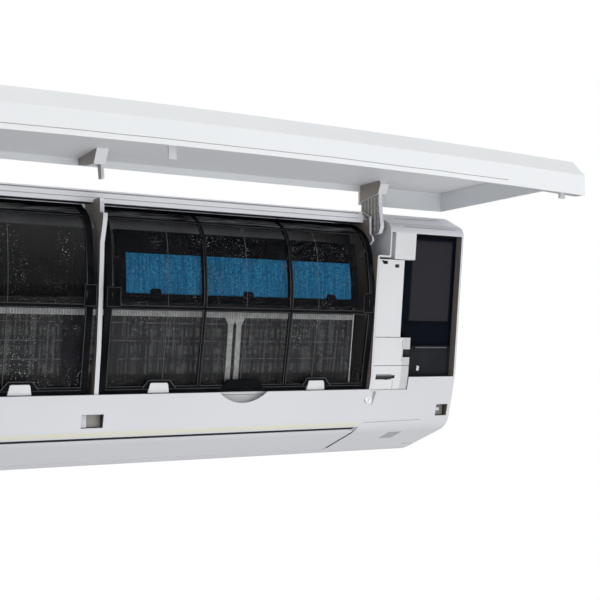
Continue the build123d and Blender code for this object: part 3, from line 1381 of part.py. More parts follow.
def control_box():
    """The dark box behind the bay: open in front, with the wiring space below its floor."""
    x_range = (BAY_LEFT + 1, BAY_RIGHT - 0.5)
    z_range = (BAY_BOTTOM + 0.5, BAY_TOP - 0.5)
    box = band(OUTLINE, (BOX_RECESS, BOX_RECESS + BOX_DEPTH), x_range)
    box &= block(x_range, BAY_DEPTHS, z_range)
    walls = (x_range[0] + BOX_WALL, x_range[1] - BOX_WALL)
    hollow = band(OUTLINE, (BOX_RECESS - 1, BOX_RECESS + BOX_DEPTH - BOX_WALL), walls)
    upper = block(walls, BAY_DEPTHS, (BOX_LOW + BOX_WALL, z_range[1] - BOX_WALL))
    lower = block(walls, BAY_DEPTHS, (z_range[0] + BOX_WALL, BOX_LOW))
    return box - (hollow & (upper + lower))


def control_cover():
    """The plate that closes the control box, with its plain label field."""
    x_range = (BAY_LEFT + 1 + BOX_WALL + 0.3, BAY_RIGHT - 0.5 - BOX_WALL - 0.3)
    z_range = (BOX_LOW + BOX_WALL + 0.3, BAY_TOP - 0.5 - BOX_WALL - 0.3)
    plate = band(OUTLINE, (BOX_RECESS + 1, BOX_RECESS + 3), x_range)
    plate &= block(x_range, BAY_DEPTHS, z_range)
    field = (LABEL_LEFT, x_range[1] - 2)
    label = band(OUTLINE, (BOX_RECESS + 0.4, BOX_RECESS + 1), field)
    return plate + (label & block(field, BAY_DEPTHS, (z_range[0] + 6, z_range[1] - 6)))


def circuit_board():
    """The board inside the control box with its tall parts."""
    x_range = (BAY_LEFT + 1 + BOX_WALL + 0.3, BAY_RIGHT - 0.5 - BOX_WALL - 0.3)
    z_range = (BOX_LOW + 6, BAY_TOP - 22)
    board = band(OUTLINE, (BOX_RECESS + 24, BOX_RECESS + 24 + BOARD_THICK), x_range)
    board &= block(x_range, BAY_DEPTHS, z_range)
    middle = (x_range[0] + x_range[1]) / 2
    board_parts = (
        (middle - 16, z_range[0] + 14, 12, 14),
        (middle + 14, z_range[0] + 32, 16, 14),
        (middle, z_range[0] + 56, 14, 14),
    )
    for x, z, size, tall in board_parts:
        y = front_y(FRONT_LINE, z) + BOX_RECESS + 25
        part = block((x - size / 2, x + size / 2), (y - tall, y + 3), (z - size / 2, z + size / 2))
        board += part - along_x(inside(OUTLINE, BOX_RECESS + 25), x_range)
    return board


def terminal_block():
    """The terminal strip in the lower part of the bay."""
    x_low = BAY_LEFT + 1 + BOX_WALL + 10
    x_range = (x_low, x_low + TERMINAL_WAYS * TERMINAL_PITCH)
    back = front_y(FRONT_LINE, TERMINAL_LOW + 12) + BOX_RECESS + BOX_DEPTH - BOX_WALL - 2
    strip = block(x_range, (back - 12, back + 12), (TERMINAL_LOW + 2, TERMINAL_LOW + 24))
    behind = inside(OUTLINE, BOX_RECESS + BOX_DEPTH - BOX_WALL - 0.3)
    strip -= along_x(behind, (x_range[0] - 1, x_range[1] + 1))
    for i in range(1, TERMINAL_WAYS):
        x = x_low + i * TERMINAL_PITCH
        strip += block((x - 0.8, x + 0.8), (back - 16, back - 12), (TERMINAL_LOW + 2, TERMINAL_LOW + 24))
    for i in range(TERMINAL_WAYS):
        x = x_low + (i + 0.5) * TERMINAL_PITCH
        strip -= Pos(x, back - 12, TERMINAL_LOW + 13) * Rot(90, 0, 0) * Cylinder(1.5, 16)
    return strip


def terminal_screws():
    """The screws of the terminal strip."""
    x_low = BAY_LEFT + 1 + BOX_WALL + 10
    back = front_y(FRONT_LINE, TERMINAL_LOW + 12) + BOX_RECESS + BOX_DEPTH - BOX_WALL - 2
    screws = []
    for i in range(TERMINAL_WAYS):
        x = x_low + (i + 0.5) * TERMINAL_PITCH
        head = Pos(x, back - 13, TERMINAL_LOW + 13) * Rot(90, 0, 0) * Cylinder(TERMINAL_SCREW_RADIUS, 2)
        slot_z = (TERMINAL_LOW + 12.6, TERMINAL_LOW + 13.4)
        head -= block((x - 2.4, x + 2.4), (back - 15, back - 13.2), slot_z)
        shank = Pos(x, back - 9, TERMINAL_LOW + 13) * Rot(90, 0, 0) * Cylinder(1.45, 7)
        screws.append(head + shank)
    return screws


def terminal_cover():
    """The cover over the wiring space, with a ridge and a proud wedge at its left."""
    x_range = (BAY_LEFT + 1 + BOX_WALL + 0.3, BAY_RIGHT - 0.5 - BOX_WALL - 0.3)
    z_range = (BAY_BOTTOM + 0.5 + BOX_WALL + 0.3, BOX_LOW - 0.3)
    plate = band(OUTLINE, (BOX_RECESS + 1, BOX_RECESS + 3), x_range)
    plate &= block(x_range, BAY_DEPTHS, z_range)
    ridge_x = (x_range[0] + WEDGE_WIDTH, x_range[1])
    ridge = band(OUTLINE, (BOX_RECESS - 2, BOX_RECESS + 1), ridge_x)
    plate += ridge & block(x_range, BAY_DEPTHS, (RIDGE_HEIGHT, RIDGE_HEIGHT + 2))
    wedge_points = (
        (x_range[0], z_range[0]),
        (x_range[0] + WEDGE_WIDTH, z_range[0]),
        (x_range[0] + WEDGE_WIDTH, WEDGE_LOW_TOP),
        (x_range[0], WEDGE_HIGH_TOP),
    )
    wedge_face = make_face(Polyline(*[(x, BAY_DEPTHS[0], z) for x, z in wedge_points], close=True))
    wedge = band(OUTLINE, (BOX_RECESS - WEDGE_PROUD, BOX_RECESS + 1), x_range)
    return plate + (wedge & extrude(wedge_face, amount=BAY_DEPTHS[1] - BAY_DEPTHS[0], dir=(0, 1, 0)))


def window_prism(gap):
    """The slot of the receiver window in the belly's right part, or the window itself."""
    half = WINDOW_WIDTH / 2 + gap
    x_range = (WINDOW_X - half, WINDOW_X + half)
    across = (WINDOW_PLACE[0] - gap, WINDOW_PLACE[1] + gap)
    low, high = duct_point(across[0], -3), duct_point(across[1], -3)
    up_low, up_high = duct_point(across[0], 5), duct_point(across[1], 5)
    return slab((low, high, up_high, up_low), x_range)


def receiver_window():
    """The smoky window in front of the remote control's receiver."""
    window = window_prism(0) & along_x(OUTLINE, (WINDOW_X - 40, WINDOW_X + 40))
    return window


def display_board():
    """The receiver's small board behind the window."""
    across = (WINDOW_PLACE[0] - 4, WINDOW_PLACE[1] + 4)
    corners = (
        duct_point(across[0], 5.4),
        duct_point(across[1], 5.4),
        duct_point(across[1], 7),
        duct_point(across[0], 7),
    )
    return slab(corners, (WINDOW_X - 16, WINDOW_X + 16))


def screw_hole(x):
    """The countersunk hole of a casing screw."""
    y = front_y(FRONT_LINE, SCREW_HEIGHT)
    hole = Pos(x, y, SCREW_HEIGHT) * Rot(90, 0, 0) * Cylinder(SCREW_SHANK_RADIUS + 0.1, 30)
    seat = Pos(x, y - 1, SCREW_HEIGHT) * Rot(90, 0, 0) * Cylinder(SCREW_RADIUS + 0.3, 4)
    return hole + seat


def frame_screws():
    """The screws that hold the casing to the chassis, with cross slots."""
    screws = []
    y = front_y(FRONT_LINE, SCREW_HEIGHT) + 1
    for x in SCREW_X:
        z = SCREW_HEIGHT
        head = Pos(x, y - SCREW_HEAD / 2, z) * Rot(90, 0, 0) * Cylinder(SCREW_RADIUS, SCREW_HEAD)
        for across, up in ((2.6, 0.5), (0.5, 2.6)):
            cross_y = (y - SCREW_HEAD - 1, y - 1)
            head -= block((x - across, x + across), cross_y, (z - up, z + up))
        shank = Cylinder(SCREW_SHANK_RADIUS, SCREW_LENGTH)
        shank = Pos(x, y + SCREW_LENGTH / 2, z) * Rot(90, 0, 0) * shank
        screws.append(head + shank)
    return screws


def drain_spigot():
    """The drain outlet on the right cheek of the pan, bored through."""
    x = OUTLET_RIGHT + CHEEK_THICK
    y, z = SPIGOT_PLACE
    spigot = rod(SPIGOT_RADIUS, (x, x + SPIGOT_LENGTH), y, z)
    spigot += rod(SPIGOT_RADIUS + 2, (x, x + 3), y, z)
    return spigot - rod(SPIGOT_BORE, (x - 1, x + SPIGOT_LENGTH + 1), y, z)


def pipe(radius, union_radius, z):
    """A refrigerant pipe with its hexagon and the round union stub that the line screws onto."""
    y = -PIPE_DEPTH
    x_low, x_high = PIPE_X
    nut_plane = Plane(origin=(x_high, y, z), z_dir=(1, 0, 0))
    nut = extrude(nut_plane * RegularPolygon(union_radius + FLARE_NUT_WALL, 6), amount=FLARE_NUT_LENGTH)
    union_x = (x_high + FLARE_NUT_LENGTH, x_high + FLARE_NUT_LENGTH + UNION_LENGTH)
    stub = rod(union_radius, union_x, y, z)
    bore = rod(radius - 1, (x_high, union_x[1] + 1), y, z)
    return rod(radius, (x_low, x_high), y, z) + nut + stub - bore


def refrigerant_pipes():
    """The gas and liquid stubs in the channel at the back."""
    gas = pipe(GAS_PIPE_RADIUS, GAS_UNION_RADIUS, GAS_PIPE_HEIGHT)
    liquid = pipe(LIQUID_PIPE_RADIUS, LIQUID_UNION_RADIUS, LIQUID_PIPE_HEIGHT)
    return [gas, liquid]


def fan_shafts():
    """The drive shaft from the rotor into the motor, and the stub in the left bearing."""
    drive = rod(SHAFT_RADIUS, (FAN_RIGHT - 14, MOTOR_LEFT + 36), *FAN)
    stub = rod(SHAFT_RADIUS, (OUTLET_LEFT - BEARING_LENGTH, FAN_LEFT + 14), *FAN)
    return [drive, stub]


write("mounting_plate", mounting_plate())
write("rear_chassis", rear_chassis())
write("front_frame", front_frame())
write("intake_grille", intake_grille())
write("front_panel", front_panel())
write("panel_liner", panel_liner())
write("panel_arm_right", panel_arm(ARM_RIGHT))
write("panel_arm_left", panel_arm(ARM_LEFT))
write("panel_hook", panel_hook())
write("panel_pegs", Compound(panel_pegs()))
write("hinge_pins", Compound(hinge_pins()))
write("hinge_bracket_right", hinge_bracket(ARM_RIGHT))
write("hinge_bracket_left", hinge_bracket(ARM_LEFT))
write("filter_frame_left", filter_frame(LEFT_FILTER))
write("filter_frame_right", filter_frame(RIGHT_FILTER))
write("filter_mesh_left", filter_mesh(LEFT_FILTER))
write("filter_mesh_right", filter_mesh(RIGHT_FILTER))
write("purifier_holder", purifier_holder())
write("purifier_pads", Compound(purifier_pads()))
write("coil_fins", Compound(coil_fins()))
write("coil_end_plates", Compound(end_plates()))
write("coil_tubes", Compound(coil_tubes()))
write("coil_strips", coil_strips())
write("fan_rotor", fan_rotor())
write("fan_shafts", Compound(fan_shafts()))
write("fan_bearing", fan_bearing())
write("fan_motor", fan_motor())
write("motor_clamp", motor_clamp())
write("drain_pan", drain_pan())
write("drain_spigot", drain_spigot())
write("air_flap", flap())
write("flap_motor", flap_motor())
write("vane_rail", vane_rail())
for side, group in (("left", -1), ("right", 1)):
    for number, x in enumerate(vane_xs(group), start=1):
        write(f"vane_{side}_{number}", vane(x))
    write(f"vane_link_{side}", vane_link(group))
write("wire_cover", wire_cover())
write("lower_cover", lower_cover())
write("seat_block", seat_block())
write("operation_button", operation_button())
write("hinge_cover", hinge_cover())
write("control_box", control_box())
write("control_cover", control_cover())
write("circuit_board", circuit_board())
write("terminal_block", terminal_block())
write("terminal_screws", Compound(terminal_screws()))
write("terminal_cover", terminal_cover())
write("receiver_window", receiver_window())
write("display_board", display_board())
write("frame_screws", Compound(frame_screws()))
write("refrigerant_pipes", Compound(refrigerant_pipes()))
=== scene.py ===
"""Looks of a wall-hung mini split indoor unit with its front panel lifted open."""

import bmesh
import bpy
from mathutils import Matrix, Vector
from mathutils.bvhtree import BVHTree


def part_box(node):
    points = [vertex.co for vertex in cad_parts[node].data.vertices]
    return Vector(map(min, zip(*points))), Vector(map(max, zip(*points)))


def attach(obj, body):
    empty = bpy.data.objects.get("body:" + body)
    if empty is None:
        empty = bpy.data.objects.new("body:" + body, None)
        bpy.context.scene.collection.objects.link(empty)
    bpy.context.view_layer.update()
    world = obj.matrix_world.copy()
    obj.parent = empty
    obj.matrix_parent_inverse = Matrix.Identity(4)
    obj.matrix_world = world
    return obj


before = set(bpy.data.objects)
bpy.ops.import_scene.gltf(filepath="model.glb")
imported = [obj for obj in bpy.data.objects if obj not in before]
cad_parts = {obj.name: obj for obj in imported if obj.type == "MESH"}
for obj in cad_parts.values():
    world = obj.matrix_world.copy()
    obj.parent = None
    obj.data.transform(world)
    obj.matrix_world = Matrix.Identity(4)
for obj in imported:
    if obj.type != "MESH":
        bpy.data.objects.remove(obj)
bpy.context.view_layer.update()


# ---- casing ------------------------------------------------------------------------------
# The casing is one large white moulding with the filter divider, the sill and the belly. It is
# satin ABS with a faint moulded grain. Its lip over the air flap has yellowed with age.
CASING_WHITE = (0.68, 0.69, 0.725)
CASING_SHADE = (0.645, 0.655, 0.69)
AGED_LIP = (0.70, 0.69, 0.585)
SIDE_PAINTED_SHADE = (0.205, 0.178, 0.158)
RIM_PAINTED_LIGHT = (0.86, 0.87, 0.90)
RIM_LIGHT_BAND = (0.1005, 0.2)
POCKET_SIDE = ((0.279, 0.325), (0.045, 0.12))
LINE_AND_SHADE_GREY = (0.34, 0.34, 0.36)
LIP_BAND = (-0.1390, -0.1345)
LIP_REACH = (-0.377, 0.272)
INNER_REACH = 0.3988
RIM_LINES = ((0.1070, 0.00035), (0.1128, 0.0009))
RIM_ENDS = (-0.374, 0.272)
CHIN_STEP_LINE = ((0.276, -0.1353), (0.358, -0.1341))
SCREW_SHADOW = ((0.2825, -0.0985), (0.2878, -0.0985), (0.2838, -0.116))
SHOULDER_STEPS = (((0.3130, 0.1072), (0.3800, 0.1092)), ((0.3130, 0.0955), (0.3890, 0.0955)))
FLAP_CORNER_SHADE = ((0.2755, -0.1361), (0.2662, -0.1458), (0.2612, -0.1429))
RIM_SEAL_AND_SHADE = ((-0.3765, 0.10195), (0.2765, 0.10195), (0.2765, 0.10172), (-0.3765, 0.10172))
GAP_SHADE_REACH = (-0.3672, 0.2672)
GAP_SHADE_PROUD = 0.0015
GAP_SHADE_BELOW_TOP = 0.0022
END_GAP_SHADE_X = 0.2680
END_GAP_SHADE_REACH = (-0.1635, -0.098)
END_GAP_SHADE_SUNK = 0.0004
FLAP_PROBE_X = 0.262
LIP_Y = -0.1668
RECESS_SHADE_GREY = (0.30, 0.285, 0.27)
RECESS_SHADE = (0.22, 0.21, 0.20)
RECESS_ENDS = {"middle": (-0.0575, -0.0420), "right": (0.3790, 0.3950)}
RECESS_Y = (-0.1685, -0.1660)
RECESS_Z = (-0.1295, -0.1165)
CATCH_TABS = {
    "middle": (-0.0640, -0.0578, -0.1295, -0.1165),
    "right": (0.3810, 0.3872, -0.1240, -0.1200),
}
CATCH_TAB_Y = -0.1697


def new_material(name):
    """A node material with only its shader."""
    material = bpy.data.materials.new(name)
    material.use_nodes = True
    return material


def shader_of(material):
    """The shader of a material."""
    return material.node_tree.nodes["Principled BSDF"]


def add_node(material, kind, **settings):
    """A node of one kind in a material, with its settings."""
    node = material.node_tree.nodes.new(kind)
    for key, value in settings.items():
        setattr(node, key, value)
    return node


def wire(material, source, target):
    """Join an output to an input."""
    material.node_tree.links.new(source, target)


def place_of(material, scale=(1, 1, 1)):
    """The object's own coordinates, stretched by a scale per axis."""
    coordinates = add_node(material, "ShaderNodeTexCoord")
    mapping = add_node(material, "ShaderNodeMapping")
    mapping.inputs["Scale"].default_value = scale
    wire(material, coordinates.outputs["Object"], mapping.inputs["Vector"])
    return mapping.outputs["Vector"]


def noise(material, place, scale, detail=3.0):
    """A noise value between 0 and 1."""
    node = add_node(material, "ShaderNodeTexNoise")
    node.inputs["Scale"].default_value = scale
    node.inputs["Detail"].default_value = detail
    wire(material, place, node.inputs["Vector"])
    return node.outputs["Fac"]


def ramp(material, value, low, high):
    """A value stretched so that low becomes 0 and high becomes 1."""
    node = add_node(material, "ShaderNodeMapRange")
    node.inputs["From Min"].default_value = low
    node.inputs["From Max"].default_value = high
    wire(material, value, node.inputs["Value"])
    return node.outputs["Result"]


def combine(material, operation, first, second):
    """Two values put together by one operation."""
    node = add_node(material, "ShaderNodeMath", operation=operation)
    wire(material, first, node.inputs[0])
    wire(material, second, node.inputs[1])
    return node.outputs["Value"]


def blend_colour(material, factor, first, second):
    """A colour between two, each a plain colour or another output."""
    node = add_node(material, "ShaderNodeMix", data_type="RGBA")
    wire(material, factor, node.inputs["Factor"])
    for name, colour in (("A", first), ("B", second)):
        target = next(s for s in node.inputs if s.name == name and s.type == "RGBA")
        if isinstance(colour, tuple):
            target.default_value = (*colour, 1.0)
        else:
            wire(material, colour, target)
    return next(s for s in node.outputs if s.type == "RGBA")


def grain_bump(material, height, depth, strength=0.35):
    """A fine relief on the surface, depth in metres."""
    bump = add_node(material, "ShaderNodeBump")
    bump.inputs["Strength"].default_value = strength
    bump.inputs["Distance"].default_value = depth
    wire(material, height, bump.inputs["Height"])
    wire(material, bump.outputs["Normal"], shader_of(material).inputs["Normal"])


def moulded_plastic(name, colour, shade, roughness, grain=900.0, depth=0.0002, mottle=5.0):
    """Moulded plastic: two close tints in soft clouds, with a fine grain."""
    material = new_material(name)
    shader = shader_of(material)
    place = place_of(material)
    clouds = ramp(material, noise(material, place, mottle, 5.0), 0.35, 0.7)
    wire(material, blend_colour(material, clouds, colour, shade), shader.inputs["Base Color"])
    shader.inputs["Roughness"].default_value = roughness
    grain_bump(material, noise(material, place, grain, 2.0), depth)
    return material


def band_mask(material, axis, low, high, soft=0.0008):
    """1 between two places along an axis, else 0, with soft edges."""
    coordinates = add_node(material, "ShaderNodeTexCoord")
    split = add_node(material, "ShaderNodeSeparateXYZ")
    wire(material, coordinates.outputs["Object"], split.inputs["Vector"])
    rise = ramp(material, split.outputs[axis], low - soft, low + soft)
    fall = ramp(material, split.outputs[axis], high + soft, high - soft)
    return combine(material, "MULTIPLY", rise, fall)


def field_mask(material, axis_x, axis_z):
    """1 inside a stretch across and up, else 0."""
    across = band_mask(material, "X", *axis_x)
    return combine(material, "MULTIPLY", across, band_mask(material, "Z", *axis_z))


def side_mask(material, reach):
    """1 on faces that look along X nearer the middle than a reach, else 0."""
    coordinates = add_node(material, "ShaderNodeTexCoord")
    facing = add_node(material, "ShaderNodeSeparateXYZ")
    wire(material, coordinates.outputs["Normal"], facing.inputs["Vector"])
    size = add_node(material, "ShaderNodeMath", operation="ABSOLUTE")
    wire(material, facing.outputs["X"], size.inputs[0])
    sideways = ramp(material, size.outputs["Value"], 0.7, 0.9)
    inner = band_mask(material, "X", -reach, reach, 0.0002)
    return combine(material, "MULTIPLY", sideways, inner)


def cut_mask(material, mask, axis_x, axis_z):
    """A mask with a stretch across and up taken out of it."""
    rest = add_node(material, "ShaderNodeMath", operation="SUBTRACT")
    rest.use_clamp = True
    wire(material, mask, rest.inputs[0])
    wire(material, field_mask(material, axis_x, axis_z), rest.inputs[1])
    return rest.outputs["Value"]


def recolour(material, mask, colour):
    """Lay another colour over a material's base colour where a mask is 1."""
    base = shader_of(material).inputs["Base Color"]
    wire(material, blend_colour(material, mask, base.links[0].from_socket, colour), base)


def dress(material, *nodes):
    """Give construction nodes a finish."""
    for node in nodes:
        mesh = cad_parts[node].data
        mesh.materials.clear()
        mesh.materials.append(material)


surfaces = {}


def surface_of(node):
    """A node's faces, kept for straight lines to meet."""
    if node not in surfaces:
        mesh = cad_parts[node].data
        points = [vertex.co.copy() for vertex in mesh.vertices]
        faces = [list(face.vertices) for face in mesh.polygons]
        surfaces[node] = BVHTree.FromPolygons(points, faces)
    return surfaces[node]


def meet(node, start, direction):
    """Where a straight line first meets a node."""
    place = surface_of(node).ray_cast(Vector(start), Vector(direction))[0]
    if place is None:
        raise ValueError(f"{node} isn't met from {tuple(start)}")
    return place


def front_of(node, x, z):
    """The y of a node's front at a place across and up."""
    return meet(node, (x, -1.0, z), (0, 1, 0)).y


def settle(piece, body):
    """Link a piece, and let it ride on a body."""
    bpy.context.scene.collection.objects.link(piece)
    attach(piece, body)
    return piece


def bead(name, body, material, points, radius, closed=False):
    """A thin round line through points."""
    data = bpy.data.curves.new(name, "CURVE")
    data.dimensions = "3D"
    data.bevel_depth = radius
    data.bevel_resolution = 2
    spline = data.splines.new("POLY")
    spline.points.add(len(points) - 1)
    for point, place in zip(spline.points, points):
        point.co = (*place, 1.0)
    spline.use_cyclic_u = closed
    data.materials.append(material)
    return settle(bpy.data.objects.new(name, data), body)


def plate(name, body, material, corners, depth, soft=0.0004):
    """A solid from a front outline to the same outline further back, with soft edges."""
    shape = bmesh.new()
    front = [shape.verts.new(corner) for corner in corners]
    back = [shape.verts.new((x, y + depth, z)) for x, y, z in corners]
    shape.faces.new(front)
    shape.faces.new(list(reversed(back)))
    for i in range(len(front)):
        j = (i + 1) % len(front)
        shape.faces.new((front[j], front[i], back[i], back[j]))
    bmesh.ops.recalc_face_normals(shape, faces=shape.faces)
    mesh = bpy.data.meshes.new(name)
    shape.to_mesh(mesh)
    shape.free()
    mesh.materials.append(material)
    piece = bpy.data.objects.new(name, mesh)
    edges = piece.modifiers.new("soft_edges", "BEVEL")
    edges.width = soft
    edges.segments = 2
    return settle(piece, body)


def on_front(node, outline, proud):
    """An (x, z) outline laid on a node's front, a little proud of it."""
    return [(x, front_of(node, x, z) - proud, z) for x, z in outline]


def spread(low, high, parts):
    """Evenly spaced values from low to high, both ends included."""
    return [low + (high - low) * i / parts for i in range(parts + 1)]


def rectangle(x_low, x_high, z_low, z_high):
    """The four corners of an upright rectangle, as (x, z)."""
    return [(x_low, z_low), (x_high, z_low), (x_high, z_high), (x_low, z_high)]


def mirrored(half):
    """An outline whose right half mirrors its left half, as (across, z)."""
    return half + tuple((-across, z) for across, z in reversed(half))


casing_white = moulded_plastic("casing_white", CASING_WHITE, CASING_SHADE, 0.42)
recolour(casing_white, field_mask(casing_white, LIP_REACH, LIP_BAND), AGED_LIP)
# The band from the rim up is painted brighter, as painted light where the lifted panel shades it.
recolour(casing_white, band_mask(casing_white, "Z", *RIM_LIGHT_BAND), RIM_PAINTED_LIGHT)
# Inner faces that look sideways carry painted shade, a brown grey, except the side of the pocket.
painted_side_shade = cut_mask(casing_white, side_mask(casing_white, INNER_REACH), *POCKET_SIDE)
recolour(casing_white, painted_side_shade, SIDE_PAINTED_SHADE)
dress(casing_white, "front_frame", "intake_grille", "air_flap")

# A grey for seam lines, and for painted shade at steps, grooves and corners of the mouldings.
line_and_shade_grey = moulded_plastic("line_and_shade_grey", LINE_AND_SHADE_GREY, (0.30, 0.30, 0.32), 0.6)
# A black for the rim's seal and for the dark plates of painted shade in gaps, holes and notches.
black_seal_and_shade = moulded_plastic("black_seal_and_shade", (0.012, 0.013, 0.016), (0.02, 0.02, 0.024), 0.6)
shader_of(black_seal_and_shade).inputs["Specular IOR Level"].default_value = 0.2
# Two grey lines along the rim are painted shade at its grooves.
for i, (z, radius) in enumerate(RIM_LINES):
    rim = [(x, front_of("front_frame", x, z) + 0.5 * radius, z) for x in RIM_ENDS]
    bead(f"rim_line_{i + 1}", "casing", line_and_shade_grey, rim, radius)
# A grey line across the chin is painted shade at the step in the moulding there.
chin_step_line = on_front("front_frame", CHIN_STEP_LINE, 0.0)
bead("chin_step_shade", "casing", line_and_shade_grey, chin_step_line, radius=0.0003)
# A grey wedge beside the screw is a painted shadow.
shadow = on_front("front_frame", SCREW_SHADOW, 0.0002)
plate("screw_wedge_shadow", "casing", line_and_shade_grey, shadow, depth=0.0006, soft=0.0001)

# Grey lines are painted shade at the two steps on the shoulder.
for i, (start, end) in enumerate(SHOULDER_STEPS):
    places = zip(spread(start[0], end[0], 8), spread(start[1], end[1], 8))
    points = on_front("front_frame", places, 0.0)
    bead(f"shoulder_step_{i + 1}", "casing", line_and_shade_grey, points, radius=0.0005)
# A black seal strip lies under the rim, and its black also paints the shade beneath the rim.
rim_seal_and_shade = [(x, LIP_Y, z) for x, z in RIM_SEAL_AND_SHADE]
plate("rim_seal_and_shade", "casing", black_seal_and_shade, rim_seal_and_shade, depth=0.012, soft=0.00005)
# A small grey plate is painted shade in the corner beside the flap's end.
corner = [(x, LIP_Y + 0.0003 * i, z) for i, (x, z) in enumerate(FLAP_CORNER_SHADE)]
plate("flap_corner_shade", "casing", line_and_shade_grey, corner, depth=0.001, soft=0.0001)

# Black beads in the gap between the lip and the flap, and under the flap's end, are painted shade.
flap_low, flap_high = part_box("air_flap")
gap_shade = [(x, flap_low.y - GAP_SHADE_PROUD, flap_high.z - GAP_SHADE_BELOW_TOP) for x in GAP_SHADE_REACH]
bead("flap_gap_shade", "casing", black_seal_and_shade, gap_shade, radius=0.0013)
end_gap_shade = []
for y in spread(*END_GAP_SHADE_REACH, 8):
    under = meet("air_flap", (FLAP_PROBE_X, y, -1.0), (0, 0, 1))
    end_gap_shade.append((END_GAP_SHADE_X, y, under.z + END_GAP_SHADE_SUNK))
bead("flap_end_gap_shade", "casing", black_seal_and_shade, end_gap_shade, radius=0.0012)

# The catch holes show a white tab beside a recess, whose grey is painted shade.
recess_shade_grey = moulded_plastic("recess_shade_grey", RECESS_SHADE_GREY, RECESS_SHADE, 0.6)
for name, reach in RECESS_ENDS.items():
    ends = list(zip(reach, RECESS_Y))
    back = [(x, y, RECESS_Z[0]) for x, y in ends]
    back += [(x, y, RECESS_Z[1]) for x, y in reversed(ends)]
    plate(f"catch_recess_{name}", "casing", recess_shade_grey, back, depth=0.001)
for name, box in CATCH_TABS.items():
    tab = [(x, CATCH_TAB_Y, z) for x, z in rectangle(*box)]
    plate(f"catch_tab_{name}", "casing", casing_white, tab, depth=0.002)


# ---- front panel -------------------------------------------------------------------------
# The lifted panel is a crowned glossy skin over a flat inner plate. Its arms, hook and pegs are
# the same bright white plastic, a little rougher than the skin. Faces of the arms and hook that
# look sideways carry painted shade, a brown grey.
PANEL_WHITE = (0.77, 0.79, 0.805)
PANEL_SHADE = (0.74, 0.76, 0.78)
BOSS_PAINTED_SHADE = (0.27, 0.245, 0.225)
PANEL_LINE_UP = 0.0046
PANEL_LINE_REACH = (0.012, 0.30)
INNER_WHITE = (0.74, 0.755, 0.78)
INNER_SHADE = (0.69, 0.70, 0.73)

panel_white = moulded_plastic(
    "panel_white", PANEL_WHITE, PANEL_SHADE, 0.28, depth=0.00006
)
inner_white = moulded_plastic("inner_white", INNER_WHITE, INNER_SHADE, 0.48)
dress(panel_white, "front_panel")
dress(inner_white, "panel_liner", "panel_pegs")
boss_white = moulded_plastic("boss_white", INNER_WHITE, INNER_SHADE, 0.48)
# Faces that look sideways get painted shade.
recolour(boss_white, side_mask(boss_white, 1.0), BOSS_PAINTED_SHADE)
dress(boss_white, "panel_arm_right", "panel_arm_left", "panel_hook")


def low_edge(node, x, z_low, z_high):
    """The lowest place on a node's front at a place across."""
    for z in spread(z_low, z_high, 120):
        place = surface_of(node).ray_cast(Vector((x, -1.0, z)), Vector((0, 1, 0)))[0]
        if place is not None:
            return place
    raise ValueError(f"{node} has no edge at {x}")


panel_low, panel_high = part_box("front_panel")
panel_line = []
for x in spread(panel_low.x + PANEL_LINE_REACH[0], PANEL_LINE_REACH[1], 24):
    edge = low_edge("front_panel", x, panel_low.z - 0.002, panel_high.z)
    z = edge.z + PANEL_LINE_UP
    panel_line.append((x, front_of("front_panel", x, z) + 0.0001, z))
bead("panel_edge_line", "panel", line_and_shade_grey, panel_line, radius=0.00035)


# ---- chassis and inner mouldings -----------------------------------------------------------
# The base moulding, the drain pan, the vanes and the small covers beside the filter are plain
# white plastic. What lies in the dark behind the filters has a film of grey dust.
DUSTY_WHITE = (0.50, 0.51, 0.52)
DUST = (0.42, 0.425, 0.435)
COVER_WHITE = (0.76, 0.775, 0.79)
COVER_SHADE = (0.70, 0.71, 0.72)

dusty_white = moulded_plastic("dusty_white", DUSTY_WHITE, DUST, 0.6, mottle=28.0)
cover_white = moulded_plastic("cover_white", COVER_WHITE, COVER_SHADE, 0.45, mottle=14.0)
vanes = [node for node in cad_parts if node.startswith("vane_")]
dress(dusty_white, "rear_chassis", "drain_pan", "drain_spigot", "motor_clamp", *vanes)
dress(
    cover_white,
    "wire_cover",
    "lower_cover",
    "seat_block",
    "hinge_cover",
    "hinge_bracket_right",
    "hinge_bracket_left",
)


# ---- filters -------------------------------------------------------------------------------
# Each filter is a glossy black frame with a fine black screen moulded in. The screen lets the
# coil and the blue pads show through, and carries specks of dust.
FILTER_BLACK = (0.005, 0.0055, 0.0065)
FILTER_WORN = (0.012, 0.013, 0.015)
SCREEN_BLACK = (0.006, 0.0065, 0.0075)
SCREEN_THREAD = (0.045, 0.047, 0.05)
SPECK = (0.42, 0.43, 0.44)
TOP_STREAK = (0.30, 0.305, 0.31)
SCREEN_COVER = 0.20
COVER_SWING = 0.12
THREADS_PER_METRE = 900.0
TOP_BAND = (0.0885, 0.105)
FIELDS = 3
BORDER = 0.007
RIB = 0.003
ROWS = ((-0.0884, -0.0085), (-0.005, 0.086))
TAB_SHARES = (0.197, 0.785)
TAB_LOW = -0.0953
TAB_HIGH = -0.0846
TAB_PROBE = -0.0865
TAB_PROUD = 0.0006
TAB_HALF = ((-0.0118, TAB_LOW), (-0.0103, -0.0862), (-0.0090, TAB_HIGH))
ARCH_HALF = ((-0.0185, -0.0900), (-0.0150, -0.0862), (-0.0118, -0.0818))
GRIP_HALF = ((-0.0255, -0.0918), (-0.0190, -0.0822))
LEDGE_Z = -0.0912
LEDGE_INSET = 0.006
THREAD_X = {"left": (-0.326, -0.235, -0.144), "right": (0.021, 0.112, 0.202)}
